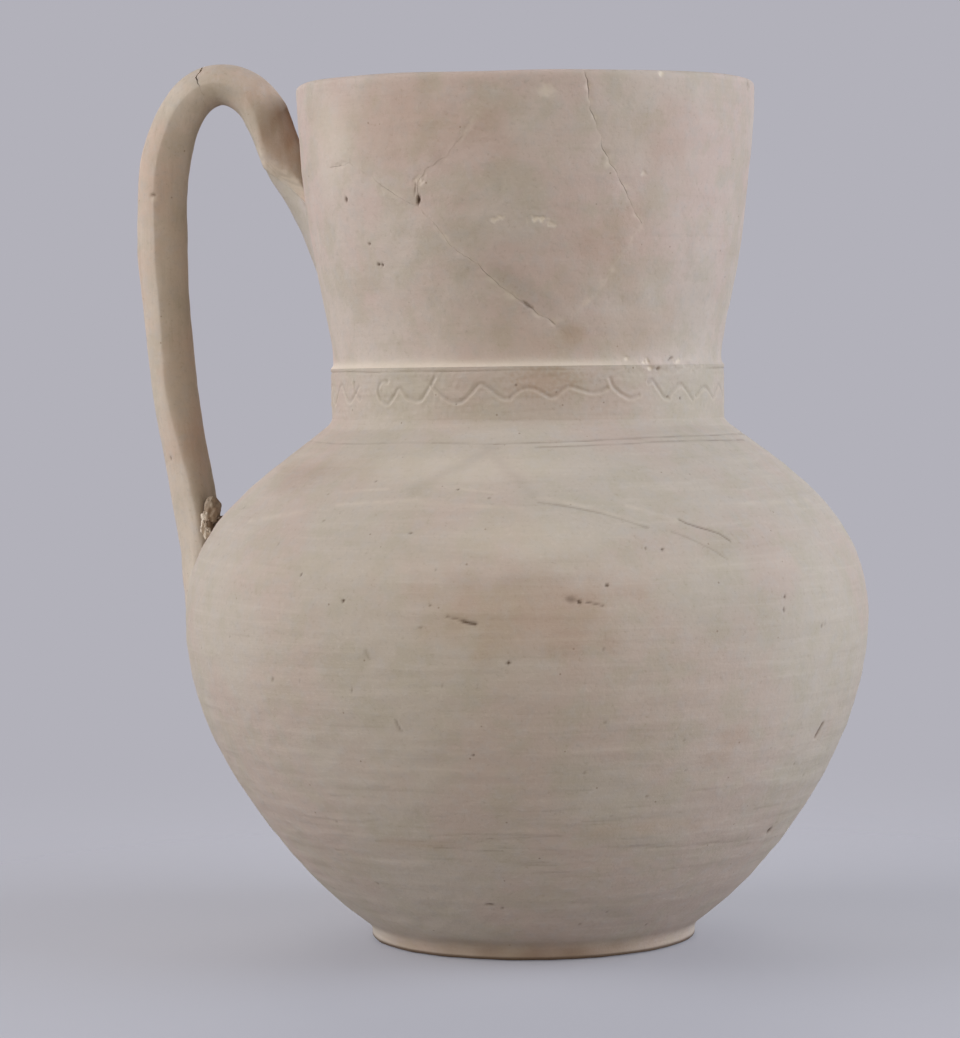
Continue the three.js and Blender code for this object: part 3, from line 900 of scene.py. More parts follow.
# Points of the unrolled neck: its grid, closer at foot and rim, its breaks and how many points of them
# share a gap, points beside those that show, marks and edges
NET_ROWS = 100
NET_ACROSS = (-300, 180)
NET_SPACING = 1.15
NET_SHIFT = 0.57
NET_FOOT = (3.5, 1)
NET_FOOT_CLOSER = 3.5
NET_RIM = (6, 3)
NET_RIM_CLOSER = 1.6
BREAK_SPACING = 0.6
BREAK_RUN = 6
BREAKS_SHOWN = 5
BESIDE_BREAKS = (-1.25, -0.65, 0.65, 1.25)
MARK_SPACING = 0.4
EDGE_POINTS = 381
NET_CELL = 0.32
SEAM_MARGIN = 0.5
EDGE_MARGIN = 0.25
ON_EDGE = 1e-3

# Small turns of the breaks: strength and size, and how they end
BREAK_JAGS = ((0.2, 6), (0.1, 2))
BREAK_END = 3

# Chips along the breaks, chalk and painted edge highlights on them, and dirt in them
CHIP_REACH = 0.35
CHIP_DEEPEST = 0.2
CHALK_REACH = 0.5
BREAK_SOIL = 0.5

# Unevenness of the neck, which fades at its foot and its rim: strength, seed, size and stretch
NECK_WAVES = ((0.18, 61, 38), (0.05, 62, 9), (0.03, 63, 5, (0.12, 0.12, 1)), (0.02, 64, 2.4))
NECK_FOOT_FADE = (0.2, 4)
NECK_RIM_FADE = 5

# Chance pits: seed, count, lowest and highest, steepness and soil
NECK_CHANCE_PITS = (23, 12, 186, 262, 0.3, 0.5)

# Marks seen on the neck: angle, height, length, width, depth, tilt, ragged edge, soil and chalk
NECK_PITS = (
    (-39.6, 232.7, 1.2, 1.6, 0.7, 0, 0, 0.9, 0),
    (-32.5, 218.9, 1.1, 0.9, 0.5, 0, 0, 0.7, 0),
    (-30.2, 212.6, 1.1, 0.9, 0.6, 0, 0, 0.9, 0),
    (-28.9, 212.4, 1.0, 1.0, 0.5, 0, 0, 0.7, 0),
    (-15.5, 231.4, 1.1, 3.0, 0.8, -10, 0, 1.0, 0),
    (-16.2, 234.6, 0.6, 4.0, 0.25, -10, 0, 0.3, 0),
    (-15.2, 237.2, 3.4, 2.4, 0.3, 40, 0.3, 0, 0.5),
    (4.6, 225.0, 4.6, 1.4, 0.2, 14, 0.35, 0, 0.7),
    (15.2, 224.8, 4.6, 1.6, 0.25, -4, 0.35, 0, 0.9),
    (18.4, 223.4, 3.0, 1.5, 0.2, -30, 0.35, 0, 0.6),
    (17.3, 263.8, 4.6, 4.2, 0.1, 0, 0.12, 0, 0.5),
    (46.7, 269.3, 2.2, 2.0, 0.4, 0, 0.2, 0, 1.0),
    (12.2, 199.6, 4.2, 0.9, 0.4, -36, 0.1, 0.6, 0),
    (41.0, 182.9, 1.8, 1.4, 0.2, 0, 0.2, 0, 0.8),
    (47.5, 182.0, 3.2, 1.6, 0.35, 20, 0.3, 0, 0.8),
    (57.0, 183.0, 2.2, 0.8, 0.35, 25, 0.2, 0.5, 0),
    (60.0, 182.0, 3.4, 1.4, 0.3, 25, 0.3, 0, 0.7),
    (-25.9, 235.6, 3.4, 2.2, 0.15, 20, 0.3, 0.1, 0.2),
    (-40.5, 243.4, 9.0, 1.6, 0.25, 4, 0.25, 0.1, 0.4),
    (-1.5, 253.0, 12.0, 1.6, 0.1, 57, 0.15, 0, 0.25),
    (42.5, 238.5, 1.6, 1.5, 0.3, 0, 0.2, 0, 0.5),
    (86.0, 268.0, 3.4, 2.6, 0.4, 0, 0.3, 0.35, 0.3),
)

# Smudges and pale patches on the neck: angle, height, length, width, tilt, soil and chalk
NECK_SMUDGES = (
    (10.0, 205.6, 32.0, 8.0, -38, 0.13, 0),
    (-9.9, 243.7, 5.0, 4.4, 40, 0.13, 0),
    (5.4, 233.5, 2.6, 9.0, 0, 0.09, 0),
    (10.5, 232.8, 2.2, 7.0, -25, 0.08, 0),
    (60.0, 212.0, 5.0, 18.0, 0, 0.07, 0),
    (2.0, 217.0, 36.0, 34.0, 0, 0.06, 0),
    (66.0, 203.0, 22.0, 24.0, 0, 0.06, 0),
    (-44.0, 250.0, 24.0, 30.0, 0, 0, 0.28),
)

# Warm stains on the neck: angle, height, length, width and strength
NECK_STAINS = (
    (45.0, 192.0, 26.0, 16.0, 0.22),
    (16.0, 188.0, 34.0, 10.0, 0.2),
    (24.0, 190.0, 10.0, 8.0, 0.35),
    (-22.0, 255.0, 60.0, 26.0, 0.22),
    (34.0, 217.0, 24.0, 28.0, 0.24),
    (44.0, 250.0, 30.0, 30.0, 0.16),
)


def neck_along(share):
    """How far up the neck's outside a share of its height is."""
    low, high = NECK_OUTER[0, 1], NECK_OUTER[-1, 1]
    return np.interp(share, (NECK_OUTER[:, 1] - low) / (high - low), NECK_ALONG)


def neck_up_to(height):
    """How far up the neck's outside a height is."""
    return float(np.interp(height, NECK_OUTER[:, 1], NECK_ALONG))


def flat_line(line, seed):
    """A break line on the unrolled neck, with the small turns of a real break."""
    angles, shares = np.array(line).T
    corners = np.stack([angles * MILLIMETRES_PER_DEGREE, neck_along(shares)], axis=1)
    fine = resampled(corners, BREAK_SPACING)
    along = lengths_along(fine)
    points = np.stack([along, np.full_like(along, seed), np.zeros_like(along)], axis=1)
    rows = enumerate(BREAK_JAGS)
    jag = sum(strength * rough(points, seed + index, size) for index, (strength, size) in rows)
    ends = between(0, BREAK_END, along[-1] - BREAK_END, along[-1], along)
    return fine + outline_normals(fine) * (jag * ends)[:, None]


FLAT_LINES = [flat_line(line, 50 + 2 * index) for index, (line, *_) in enumerate(BREAK_LINES)]
SEAM = FLAT_LINES[-1]


def seam_across(up):
    """Where the seam is on the unrolled neck, at distances up it."""
    return np.interp(up, SEAM[::-1, 1], SEAM[::-1, 0])


def filling_points():
    """Points for the unrolled neck's triangles: a grid that is closer at the marks and breaks."""
    def density(up):
        foot = NET_FOOT_CLOSER * smooth(*NET_FOOT, up)
        rim = smooth(NECK_LENGTH - NET_RIM[0], NECK_LENGTH - NET_RIM[1], up)
        return 1 + foot + NET_RIM_CLOSER * rim

    up = graded(0, NECK_LENGTH, density, NET_ROWS)[1:-1]
    grid = np.stack(np.meshgrid(np.arange(*NET_ACROSS, NET_SPACING), up), axis=-1)
    grid[1::2, :, 0] += NET_SHIFT
    sets = [grid.reshape(-1, 2)]
    for angle, height, length, width, *_ in NECK_PITS:
        reach = np.arange(-max(length, width), max(length, width), MARK_SPACING)
        place = angle * MILLIMETRES_PER_DEGREE, neck_up_to(height)
        sets.append(np.stack(np.meshgrid(reach, reach), axis=-1).reshape(-1, 2) + place)
    for line in FLAT_LINES[:BREAKS_SHOWN]:
        square = outline_normals(line)
        sets += [line + square * step for step in BESIDE_BREAKS]
    points = np.concatenate(sets)
    across, up = points.T
    seam = seam_across(up)
    inside = (across < seam - SEAM_MARGIN) & (across > seam - FULL_TURN + SEAM_MARGIN)
    return points[inside & (up > EDGE_MARGIN) & (up < NECK_LENGTH - EDGE_MARGIN)]


def clear_of(fixed, places):
    """Which places are in no cell of a grid that is next to a fixed point's cell."""
    taken = {tuple(cell) for cell in np.floor(fixed / NET_CELL).astype(int).tolist()}
    steps = [(across, up) for across in (-1, 0, 1) for up in (-1, 0, 1)]
    cells = np.floor(places / NET_CELL).astype(int).tolist()
    return [not any((column + i, row + j) in taken for i, j in steps) for column, row in cells]


def neck_net():
    """The unrolled neck as triangles that meet along the break lines."""
    lines = [*FLAT_LINES, SEAM - (FULL_TURN, 0)]
    for up in (0.0, NECK_LENGTH):
        across = np.linspace(seam_across(up) - FULL_TURN, seam_across(up), EDGE_POINTS)
        lines.append(np.stack([across, np.full_like(across, up)], axis=1))
    links = []
    for start, line in zip(np.cumsum([0] + [len(line) for line in lines]), lines):
        links += [(start + step, start + step + 1) for step in range(len(line) - 1)]
    fixed = np.concatenate(lines)
    filling = filling_points()
    filling = filling[clear_of(fixed, filling)]
    everything = [Vector(place) for place in np.concatenate([fixed, filling])]
    places, edges, triangles, _, sources, _ = delaunay_2d_cdt(everything, links, [], 0, 1e-4)
    places = np.array([tuple(place) for place in places])
    triangles = np.array([tuple(face) for face in triangles])
    middles = places[triangles].mean(axis=1)
    left = seam_across(middles[:, 1])
    triangles = triangles[(middles[:, 0] < left) & (middles[:, 0] > left - FULL_TURN)]
    broken = {tuple(sorted(edge)) for edge, source in zip(edges, sources) if source}
    return places, triangles, broken


def separate_sherds(places, triangles, broken):
    """The triangles of each sherd, found by walking out from a place on it."""
    beside = {}
    for index, (a, b, c) in enumerate(triangles.tolist()):
        for edge in ((a, b), (b, c), (c, a)):
            beside.setdefault(tuple(sorted(edge)), []).append(index)
    links = [[] for _ in triangles]
    for edge, pair in beside.items():
        if len(pair) == 2 and edge not in broken:
            links[pair[0]].append(pair[1])
            links[pair[1]].append(pair[0])
    middles = places[triangles].mean(axis=1)
    for name, ((angle, share), _) in SHERDS.items():
        start = (angle * MILLIMETRES_PER_DEGREE, float(neck_along(share)))
        waiting = [int(np.argmin(np.linalg.norm(middles - start, axis=1)))]
        seen = set(waiting)
        while waiting:
            fresh = [other for other in links[waiting.pop()] if other not in seen]
            seen.update(fresh)
            waiting += fresh
        yield name, triangles[sorted(seen)]


def nearest_break(places):
    """For each place, the distance to the nearest break line, and that line's gap and its chalk and painted
    edge highlight there.
    """
    found = np.full((3, len(places)), FAR)
    lines = [*zip(FLAT_LINES, BREAK_LINES), (SEAM - (FULL_TURN, 0), BREAK_LINES[-1])]
    for line, (_, gaps, chalk) in lines:
        share = np.linspace(0, 1, len(line))
        gap = gaps[0] + (gaps[1] - gaps[0]) * share
        for start in range(0, len(line), BREAK_RUN):
            some = slice(start, start + BREAK_RUN)
            distance = np.linalg.norm(places[:, None, :] - line[None, some], axis=2).min(axis=1)
            width = np.full_like(distance, gap[some].mean())
            here = np.stack([distance, width, np.full_like(distance, chalk)])
            found = np.where(distance < found[0], here, found)
    return found


def sherd_border(flat, faces):
    """The edges around a sherd, and for each its direction into the sherd."""
    edges = np.concatenate([faces[:, [0, 1]], faces[:, [1, 2]], faces[:, [2, 0]]])
    third = np.concatenate([faces[:, 2], faces[:, 0], faces[:, 1]])
    _, first, many = np.unique(np.sort(edges, axis=1), axis=0, return_index=True, return_counts=True)
    border, inner = edges[first[many == 1]], third[first[many == 1]]
    run = flat[border[:, 1]] - flat[border[:, 0]]
    inward = np.stack([-run[:, 1], run[:, 0]], axis=1) / np.linalg.norm(run, axis=1, keepdims=True)
    inward *= np.sign((inward * (flat[inner] - flat[border[:, 0]])).sum(axis=1))[:, None]
    return border, inward


def sherd_surface(flat, distance, gap, chalk):
    """The relief and marks of a sherd's outside."""
    angle, along = flat[:, 0] / MILLIMETRES_PER_DEGREE, flat[:, 1]

    def radius_at(place):
        return np.interp(place, NECK_ALONG, NECK_OUTER[:, 0])

    points = around(angle, radius_at(along), np.interp(along, NECK_ALONG, NECK_OUTER[:, 1]))
    surface = Surface(angle, along, radius_at, neck_up_to, points)
    surface.waves(NECK_WAVES)
    surface.relief *= between(*NECK_FOOT_FADE, NECK_LENGTH - NECK_RIM_FADE, NECK_LENGTH, along)
    flare = COLLAR_RADIUS + ridge_proud(angle) - NECK_FOOT_RADIUS
    worn, _ = ridge_wear(angle)
    ledge = NECK_LEDGE * (1 - NECK_LEDGE_WORN * worn)
    surface.relief += (flare - ledge) * np.exp(-along / NECK_COVE_REACH)
    surface.relief += ledge * np.exp(-along / NECK_LEDGE_REACH)
    # Painted highlight along the ledge at the neck's foot
    surface.mark(bell(along, NECK_LEDGE_HIGHLIGHT_REACH) * between(*NECK_LEDGE_HIGHLIGHT_TURN, angle), chalk=NECK_LEDGE_HIGHLIGHT)
    for place, height, length, width, depth, tilt, ragged, soil, white in NECK_PITS:
        surface.dent(place, height, length, width, tilt, ragged, depth=depth, soil=soil, chalk=white)
    for place, height, length, width, tilt, soil, white in NECK_SMUDGES:
        surface.dent(place, height, length, width, tilt, soil=soil, chalk=white)
    surface.chance_pits(*NECK_CHANCE_PITS)
    for stain in NECK_STAINS:
        surface.stain(*stain)
    chips = np.clip(rough(points, 65, 4), 0, 2)
    depth = np.clip(gap, 0, CHIP_DEEPEST) * (0.4 + chips)
    surface.mark(bell(distance, CHIP_REACH * (1 + chips)), depth=depth)
    # Pale chipped edges and painted edge highlights along the breaks
    surface.mark(bell(distance, CHALK_REACH * (1 + chips)) * (0.4 + 0.5 * chips), chalk=chalk)
    return surface


def at_ends(flat):
    """Which places of the unrolled neck are on its rim, and which on its foot."""
    return flat[:, 1] > NECK_LENGTH - ON_EDGE, flat[:, 1] < ON_EDGE


def drawn_back(flat, border, inward, gap):
    """A sherd's places moved back from its breaks by half the gap, and which of them moved."""
    at_top, at_foot = at_ends(flat)
    cracked = ~(at_top[border].all(axis=1) | at_foot[border].all(axis=1))
    push = np.zeros_like(flat)
    for end in (0, 1):
        np.add.at(push, border[cracked, end], inward[cracked])
    size = np.linalg.norm(push, axis=1, keepdims=True)
    push /= np.maximum(size, 1e-9)
    push[at_top | at_foot, 1] = 0
    sides = np.column_stack([flat, np.zeros(len(flat))])
    opening = gap / 2 * np.clip(1 + 0.5 * rough(sides, 71, 6), 0.3, 2)
    return flat + push * opening[:, None], size[:, 0] > 0


def sherd_tilt(name, angle, along, distance):
    """How far a sherd stands proud along its breaks."""
    (middle, share), (proud, to_right, to_top) = SHERDS[name]
    tilt = proud + to_right * np.clip(angle_apart(angle, middle) / TILT_TURN, -1, 1)
    tilt += to_top * np.clip((along - neck_along(share)) / TILT_RISE, -1, 1)
    return tilt * (smooth(*TILT_ABOVE_FOOT, along) * smooth(*TILT_NEAR, distance))


def rim_drop(angle, along):
    """How far the upper neck is lowered by the rim's dip on the near side, and by its wave."""
    facing = np.clip(np.cos(np.radians(angle - CAMERA_AZIMUTH)), 0, 1)
    dip = RIM_DIP * facing**2 + RIM_WAVE * rough(around(angle, RIM_RADIUS, 0), 66, 45)
    return dip * smooth(RIM_DIP_STARTS * NECK_LENGTH, NECK_LENGTH, along)


def make_sherd(name, places, triangles, found, material):
    used, local = np.unique(triangles, return_inverse=True)
    faces = local.reshape(-1, 3)
    distance, gap, chalk = found[:, used]
    border, inward = sherd_border(places[used], faces)
    at_top, _ = at_ends(places[used])
    flat, cracked = drawn_back(places[used], border, inward, gap)
    surface = sherd_surface(flat, distance, gap, chalk)
    angle, along = surface.angle, surface.along
    tilt = sherd_tilt(name, angle, along, distance)
    drop = rim_drop(angle, along)

    def sheet(outline, relief):
        radius = np.interp(along, NECK_ALONG, outline[:, 0]) + relief + tilt
        return around(angle, radius, np.interp(along, NECK_ALONG, outline[:, 1]) - drop)

    count = len(flat)
    points = np.concatenate([sheet(NECK_OUTER, surface.relief), sheet(NECK_INNER, 0)[~at_top]])
    inside = np.where(at_top, np.arange(count), count + np.cumsum(~at_top) - 1)
    shell = [*faces.tolist(), *inside[faces][:, ::-1].tolist()]
    for start, end in border[~at_top[border].all(axis=1)].tolist():
        shell.append(list(dict.fromkeys([end, start, inside[start], inside[end]])))
    dirt = np.where(cracked, BREAK_SOIL, 0)[~at_top]
    clean = np.zeros_like(dirt)
    added = {"soil": dirt, "chalk": clean, "warm": clean}
    marks = {label: np.append(getattr(surface, label), more) for label, more in added.items()}
    make_piece(name, points, shell, material, "neck_clay", **marks)


def make_neck(material):
    places, triangles, broken = neck_net()
    found = nearest_break(places)
    for name, faces in separate_sherds(places, triangles, broken):
        make_sherd(name, places, faces, found, material)


# Handle


HANDLE_ANGLE = -90

# Anchors of the middle line: radius, height, heading, ease before and after, thickness,
# width, and the power that shapes the ridge along the front and back
HANDLE_ANCHORS = (
    (104.6, 97.0, 77.5, 0.0, 44.0, 11.5, 20.0, 1.7),
    (121.2, 228.7, 90.0, 34.0, 34.0, 16.5, 17.0, 1.32),
    (100.0, 273.7, 180.0, 10.0, 6.5, 13.0, 17.0, 1.5),
    (84.7, 263.0, 243.0, 6.5, 8.0, 14.4, 17.0, 1.5),
    (61.5, 209.7, 244.5, 20.0, 0.0, 9.0, 9.0, 2.0),
)
EDGE_ROUNDNESS = 2.1
SECTION_POINTS = 96
LIMB_RINGS = 440
SHORT_LIMB_RINGS = 120
WEB_RINGS = 100
RING_SPACING = 0.45
SPAN_STEPS = 160

# The line runs on below its first anchor, by this many steps and this far inwards
FOOT_STEPS = 70
FOOT_INSET = 6

# Unevenness of the handle: strength, seed, size and direction
HANDLE_WAVES = ((0.14, 81, 30, (1, 1, 0)), (0.06, 82, 7, (-1, 1, 0)))

# How far the ridge moves towards the loop, at the foot and on the short limb
FOOT_SKEW = 0.6
FOOT_SKEW_HEIGHTS = (178.0, 128.0)
FALL_SKEW = 0.6
FALL_SKEW_HEIGHTS = (274.0, 248.0)
SKEW_POWER = 1.4

# The break on the arch zigzags, and gapes towards its top
BREAK_RADIUS = 105.2
BREAK_MIDDLE = 272.5
BREAK_TOOTH = 2.4
BREAK_ROUGH = 0.3
BREAK_GAP = 0.05
BREAK_GAPE = 0.45
BREAK_GAPE_HEIGHTS = (271.5, 277)

# The crease at the root, with a raised lip over it
CREASE_PLACE = (78.2, 241.3)
CREASE_SLOPE = 37.0
CREASE_LIP = 0.45
CREASE_LIP_REACH = 2.2
CREASE_ROUGH = 0.25
CREASE_GAP = 0.1

# Rings that close a limb's ends, as shares of its section
CAP_SHARES = (0.15, 0.5, 0.85)

# Where the ends are smeared onto the vessel: how far the hidden half and the edges sink in, and how far
# the foot and the tail stand out at some heights
SMEAR_HIDDEN = 0.9
SMEAR_EDGE = 0.25
FOOT_HEIGHTS = (64.0, 74.0, 82.0, 90.0, 98.0, 109.0, 122.0, 130.0, 137.0, 151.0)
FOOT_RISES = (-0.6, 0.1, 0.9, 2.0, 3.6, 5.6, 10.8, 16.2, 21.6, 34.0)
FOOT_MERGE = (104.0, 146.0)
FOOT_MERGE_INSIDE = 116.0
FOOT_SPREAD = 22.0
FOOT_SPREAD_HEIGHTS = (128.0, 88.0)
FOOT_HALF_WIDTH = 10.5
FOOT_INSIDE = (0.6, -0.1)
TAIL_HEIGHTS = (194.0, 204.0, 210.0, 216.1, 225.2, 235.4, 250.0)
TAIL_RISES = (-0.6, 0.5, 1.4, 2.8, 5.0, 8.9, 15.0)
TAIL_MERGE = (222.0, 246.0)
TAIL_MERGE_AGAINST = (234.0, 254.0)
TAIL_SPREAD = 15.0
TAIL_SPREAD_HEIGHTS = (250.0, 226.0)
TAIL_HALF_WIDTH = 8.0
TAIL_AGAINST = (-0.9, 0.3)

# Painted shade in the corner over the foot and in the shade of the loop, painted warm shade over a brown
# stain on the short limb's side towards the neck,
# and chalk at the crease: limits by side, height and distance from the belly or the crease
CORNER_GAPS = (4, 0.5)
CORNER_HEIGHTS = (106, 114)
CORNER_SIDE = (0.2, -0.3)
CORNER_SHADE = 0.55
SHADED_SIDE = (0.1, -0.5)
SHADED_HEIGHTS = (222, 200)
LOOP_SHADE = 0.08
UNDER_LIMB_SIDE = (-0.7, 0.5)
UNDER_LIMB_HEIGHTS = (279, 256)
UNDER_LIMB_BELOW = (-1.5, -8)
UNDER_LIMB_SHADE_AND_STAIN = 0.55
CHALKY_SIDE = (0.95, 0.3)
CHALKY_BELOW = -0.2
CHALKY_MIDDLE = -2
CHALKY_REACH = 3
CHALKY = 0.35

# Marks on the long limb: height, degrees round the section, size, depth, soil and chalk
LIMB_MARKS = (
    (238.0, 0.0, (1.1, 1.1, 0.5), 0.6, 0.45, 0.0),
    (236.8, 0.0, (1.2, 1.2, 0.6), 0.1, 0.0, 0.4),
    (153.0, 40.0, (0.5, 0.5, 0.7), 0.4, 0.7, 0.0),
)


def handle_line():
    """The handle's middle line in its own plane, with its section all along."""
    first = HANDLE_ANCHORS[0]
    foot = np.linspace((first[0] - FOOT_INSET, FOOT_HEIGHTS[0]), first[:2], FOOT_STEPS)
    places = [foot[:-1]]
    sections = [np.repeat([first[5:]], FOOT_STEPS - 1, axis=0)]
    share = np.linspace(0, 1, SPAN_STEPS)[:, None]
    for start, end in zip(HANDLE_ANCHORS[:-1], HANDLE_ANCHORS[1:]):
        leaving, arriving = headed(start, start[2], start[4]), headed(end, end[2] + 180, end[3])
        places.append(bezier(start[:2], leaving, arriving, end[:2], SPAN_STEPS)[:-1])
        sections.append((np.array(start[5:]) * (1 - share) + np.array(end[5:]) * share)[:-1])
    both = np.concatenate([np.concatenate(places), np.concatenate(sections)], axis=1)
    along = lengths_along(both[:, :2])
    even = np.arange(0, along[-1], RING_SPACING)
    both = np.stack([np.interp(even, along, column) for column in both.T], axis=1)
    return even, both[:, :2], both[:, 2:]


def smeared(height, sideways, outside, radius, heights, rises, half_width):
    """A ring pressed flat onto the vessel: a low bell outside, and a hidden half inside."""
    swell = bell(sideways, half_width)
    hidden = -SMEAR_HIDDEN * np.abs(outside)
    over = np.where(outside > 0, np.interp(height, heights, rises) * swell, hidden)
    reach = radius + over - SMEAR_EDGE * (1 - swell)
    return np.stack([-np.sqrt(np.maximum(reach**2 - sideways**2, 1)), sideways, height], axis=-1)


def signed_power(value, power):
    """A power of a value's size, with the value's sign."""
    return np.sign(value) * np.abs(value) ** power


def free_bar(places, sections, turn, level, rising):
    """The handle's points as if it stood clear of the vessel."""
    along = np.gradient(places, axis=0)
    along /= np.linalg.norm(along, axis=1, keepdims=True)
    thickness, width, ridge = (column[:, None] for column in sections.T)
    foot_skew = FOOT_SKEW * smooth(*FOOT_SKEW_HEIGHTS, level)
    skew = np.where(rising, foot_skew, FALL_SKEW * smooth(*FALL_SKEW_HEIGHTS, level))
    across = signed_power(np.sin(turn), 2 / ridge) - skew * np.abs(np.cos(turn)) ** SKEW_POWER
    across = across * thickness / 2
    side = width / 2 * signed_power(np.cos(turn), 2 / EDGE_ROUNDNESS)
    radius = places[:, :1] + along[:, 1:] * across
    height = places[:, 1:] - along[:, :1] * across
    points = np.stack([-radius, -side, height], axis=-1)
    for strength, seed, size, direction in HANDLE_WAVES:
        points += strength * rough(points, seed, size)[..., None] * np.array(direction)
    return points


def pressed_on(free, sideways, out, level, rising):
    """The handle's points with both its ends smeared onto the vessel."""
    def side(spread, reach):
        return free[..., 1] * (1 - spread) + reach * sideways * spread

    foot_side = side(smooth(*FOOT_SPREAD_HEIGHTS, level), FOOT_SPREAD)
    belly = belly_radius(HANDLE_ANGLE, level)
    foot = smeared(level, foot_side, out, belly, FOOT_HEIGHTS, FOOT_RISES, FOOT_HALF_WIDTH)
    tail_side = side(smooth(*TAIL_SPREAD_HEIGHTS, level), TAIL_SPREAD)
    neck = neck_radius(level)
    tail = smeared(level, tail_side, -out, neck, TAIL_HEIGHTS, TAIL_RISES, TAIL_HALF_WIDTH)
    inside = smooth(*FOOT_INSIDE, out)
    merge_top = FOOT_MERGE[1] + (FOOT_MERGE_INSIDE - FOOT_MERGE[1]) * inside
    pressed = np.where(rising, smooth(merge_top, FOOT_MERGE[0], level), 0)[..., None]
    against = smooth(*TAIL_AGAINST, out)
    low, high = (one + (other - one) * against for one, other in zip(TAIL_MERGE, TAIL_MERGE_AGAINST))
    sunk = np.where(rising, 0, smooth(high, low, level))[..., None]
    return free * (1 - pressed - sunk) + foot * pressed + tail * sunk


def handle_marks(points, out, level, below, rising):
    """Painted shade, chalk, and painted warm shade over a brown stain, of the handle's points."""
    over_belly = np.hypot(points[..., 0], points[..., 1]) - belly_radius(HANDLE_ANGLE, points[..., 2])
    # Painted shade in the corner between the rising limb and the belly
    corner = smooth(*CORNER_GAPS, over_belly) * smooth(*CORNER_HEIGHTS, level) * smooth(*CORNER_SIDE, out)
    # Painted shade on the side of the rising limb that faces into the loop
    shaded = smooth(*SHADED_SIDE, out) * smooth(*SHADED_HEIGHTS, level)
    soil = np.where(rising, np.maximum(CORNER_SHADE * corner, LOOP_SHADE * shaded), 0)
    streaks = np.clip(0.75 + 0.3 * rough(points, 85, 3, (1, 1, 0.2)), 0, 1.3)
    # Painted warm shade on the short limb's side towards the neck, over a streaky brown stain
    under_limb_shade_and_stain = smooth(*UNDER_LIMB_SIDE, out) * smooth(*UNDER_LIMB_HEIGHTS, level) * smooth(*UNDER_LIMB_BELOW, below)
    warm = np.where(rising, 0, UNDER_LIMB_SHADE_AND_STAIN * under_limb_shade_and_stain * streaks)
    chalky = CHALKY * bell(below - CHALKY_MIDDLE, CHALKY_REACH)
    chalk = np.where(rising | (below > CHALKY_BELOW), 0, chalky)
    chalk *= smooth(-0.4, 0.8, rough(points, 86, 3)) * smooth(*CHALKY_SIDE, out)
    return np.stack([soil, chalk, warm], axis=-1)


def handle_grid():
    """Points all over the handle in rings along its middle line, with soil and painted shade, chalk and
    warmth.
    """
    even, places, sections = handle_line()
    turn = np.linspace(0, 2 * np.pi, SECTION_POINTS, endpoint=False)
    rising = (np.arange(len(even)) < np.argmax(places[:, 1]))[:, None]
    level = np.broadcast_to(places[:, 1:], (len(even), SECTION_POINTS))
    out = np.sin(turn) * np.ones_like(level)
    free = free_bar(places, sections, turn, level, rising)
    points = pressed_on(free, -np.cos(turn) * np.ones_like(level), out, level, rising)
    below = crease_side(points)
    lip = np.where(rising | (below > 0), 0, CREASE_LIP * bell(below, CREASE_LIP_REACH))
    away = points - points.mean(axis=1, keepdims=True)
    points += away / np.linalg.norm(away, axis=2, keepdims=True) * lip[..., None]
    grid = np.concatenate([points, handle_marks(points, out, level, below, rising)], axis=-1)
    for mark in LIMB_MARKS:
        press_mark(grid, places, *mark)
    return even, grid


def press_mark(grid, places, height, degrees, size, depth, soil, chalk):
    """Presses a small mark into the handle's rising limb."""
    ring = int(np.argmax(places[:, 1] > height))
    column = round(degrees / 360 * SECTION_POINTS)
    centre = grid[ring, column, :3].copy()
    inward = grid[ring, :, :3].mean(axis=0) - centre
    far = np.linalg.norm((grid[..., :3] - centre) / np.array(size), axis=-1)
    weight = np.exp(-(far**3))
    grid[..., :3] += depth * weight[..., None] * inward / np.linalg.norm(inward)
    grid[..., 3] = np.maximum(grid[..., 3], soil * weight)
    grid[..., 4] = np.maximum(grid[..., 4], chalk * weight)


def crease_side(points):
    """How far points are below the plane of the crease at the handle's root."""
    slope = math.radians(CREASE_SLOPE)
    out = -points[..., 0] - CREASE_PLACE[0]
    return out * math.sin(slope) - (points[..., 2] - CREASE_PLACE[1]) * math.cos(slope)


def crossing(even, signed):
    """How far along each line of points a signed distance first turns positive."""
    after = np.argmax(signed > 0, axis=0)
    before = np.maximum(after - 1, 0)
    columns = np.arange(signed.shape[1])
    low, high = signed[before, columns], signed[after, columns]
    return even[before] + (even[after] - even[before]) * np.clip(-low / np.maximum(high - low, 1e-9), 0, 1)


def bar_between(even, grid, start, end, rings):
    """The rings of the handle between two cuts across it."""
    share = np.linspace(0, 1, rings)[:, None]
    wanted = start * (1 - share) + end * share
    place = np.clip((wanted - even[0]) / (even[1] - even[0]), 0, len(even) - 1.001)
    low = place.astype(int)
    part = (place - low)[..., None]
    columns = np.arange(grid.shape[1])[None, :]
    return grid[low, columns] * (1 - part) + grid[low + 1, columns] * part


def close_bar(name, rings, material):
    """A handle piece from its rings, with a face over each end."""
    def cap(end):
        middle = end.mean(axis=0)
        return np.stack([middle + (end - middle) * share for share in CAP_SHARES])

    stack = np.concatenate([cap(rings[0]), rings, cap(rings[-1])[::-1]])
    points, faces = closed_rings(stack[..., :3])
    faces = [face[::-1] for face in faces]
    marks = dict(zip(MARKS, np.moveaxis(stack[..., 3:], -1, 0)))
    make_piece(name, points, faces, material, "handle_clay", **marks)


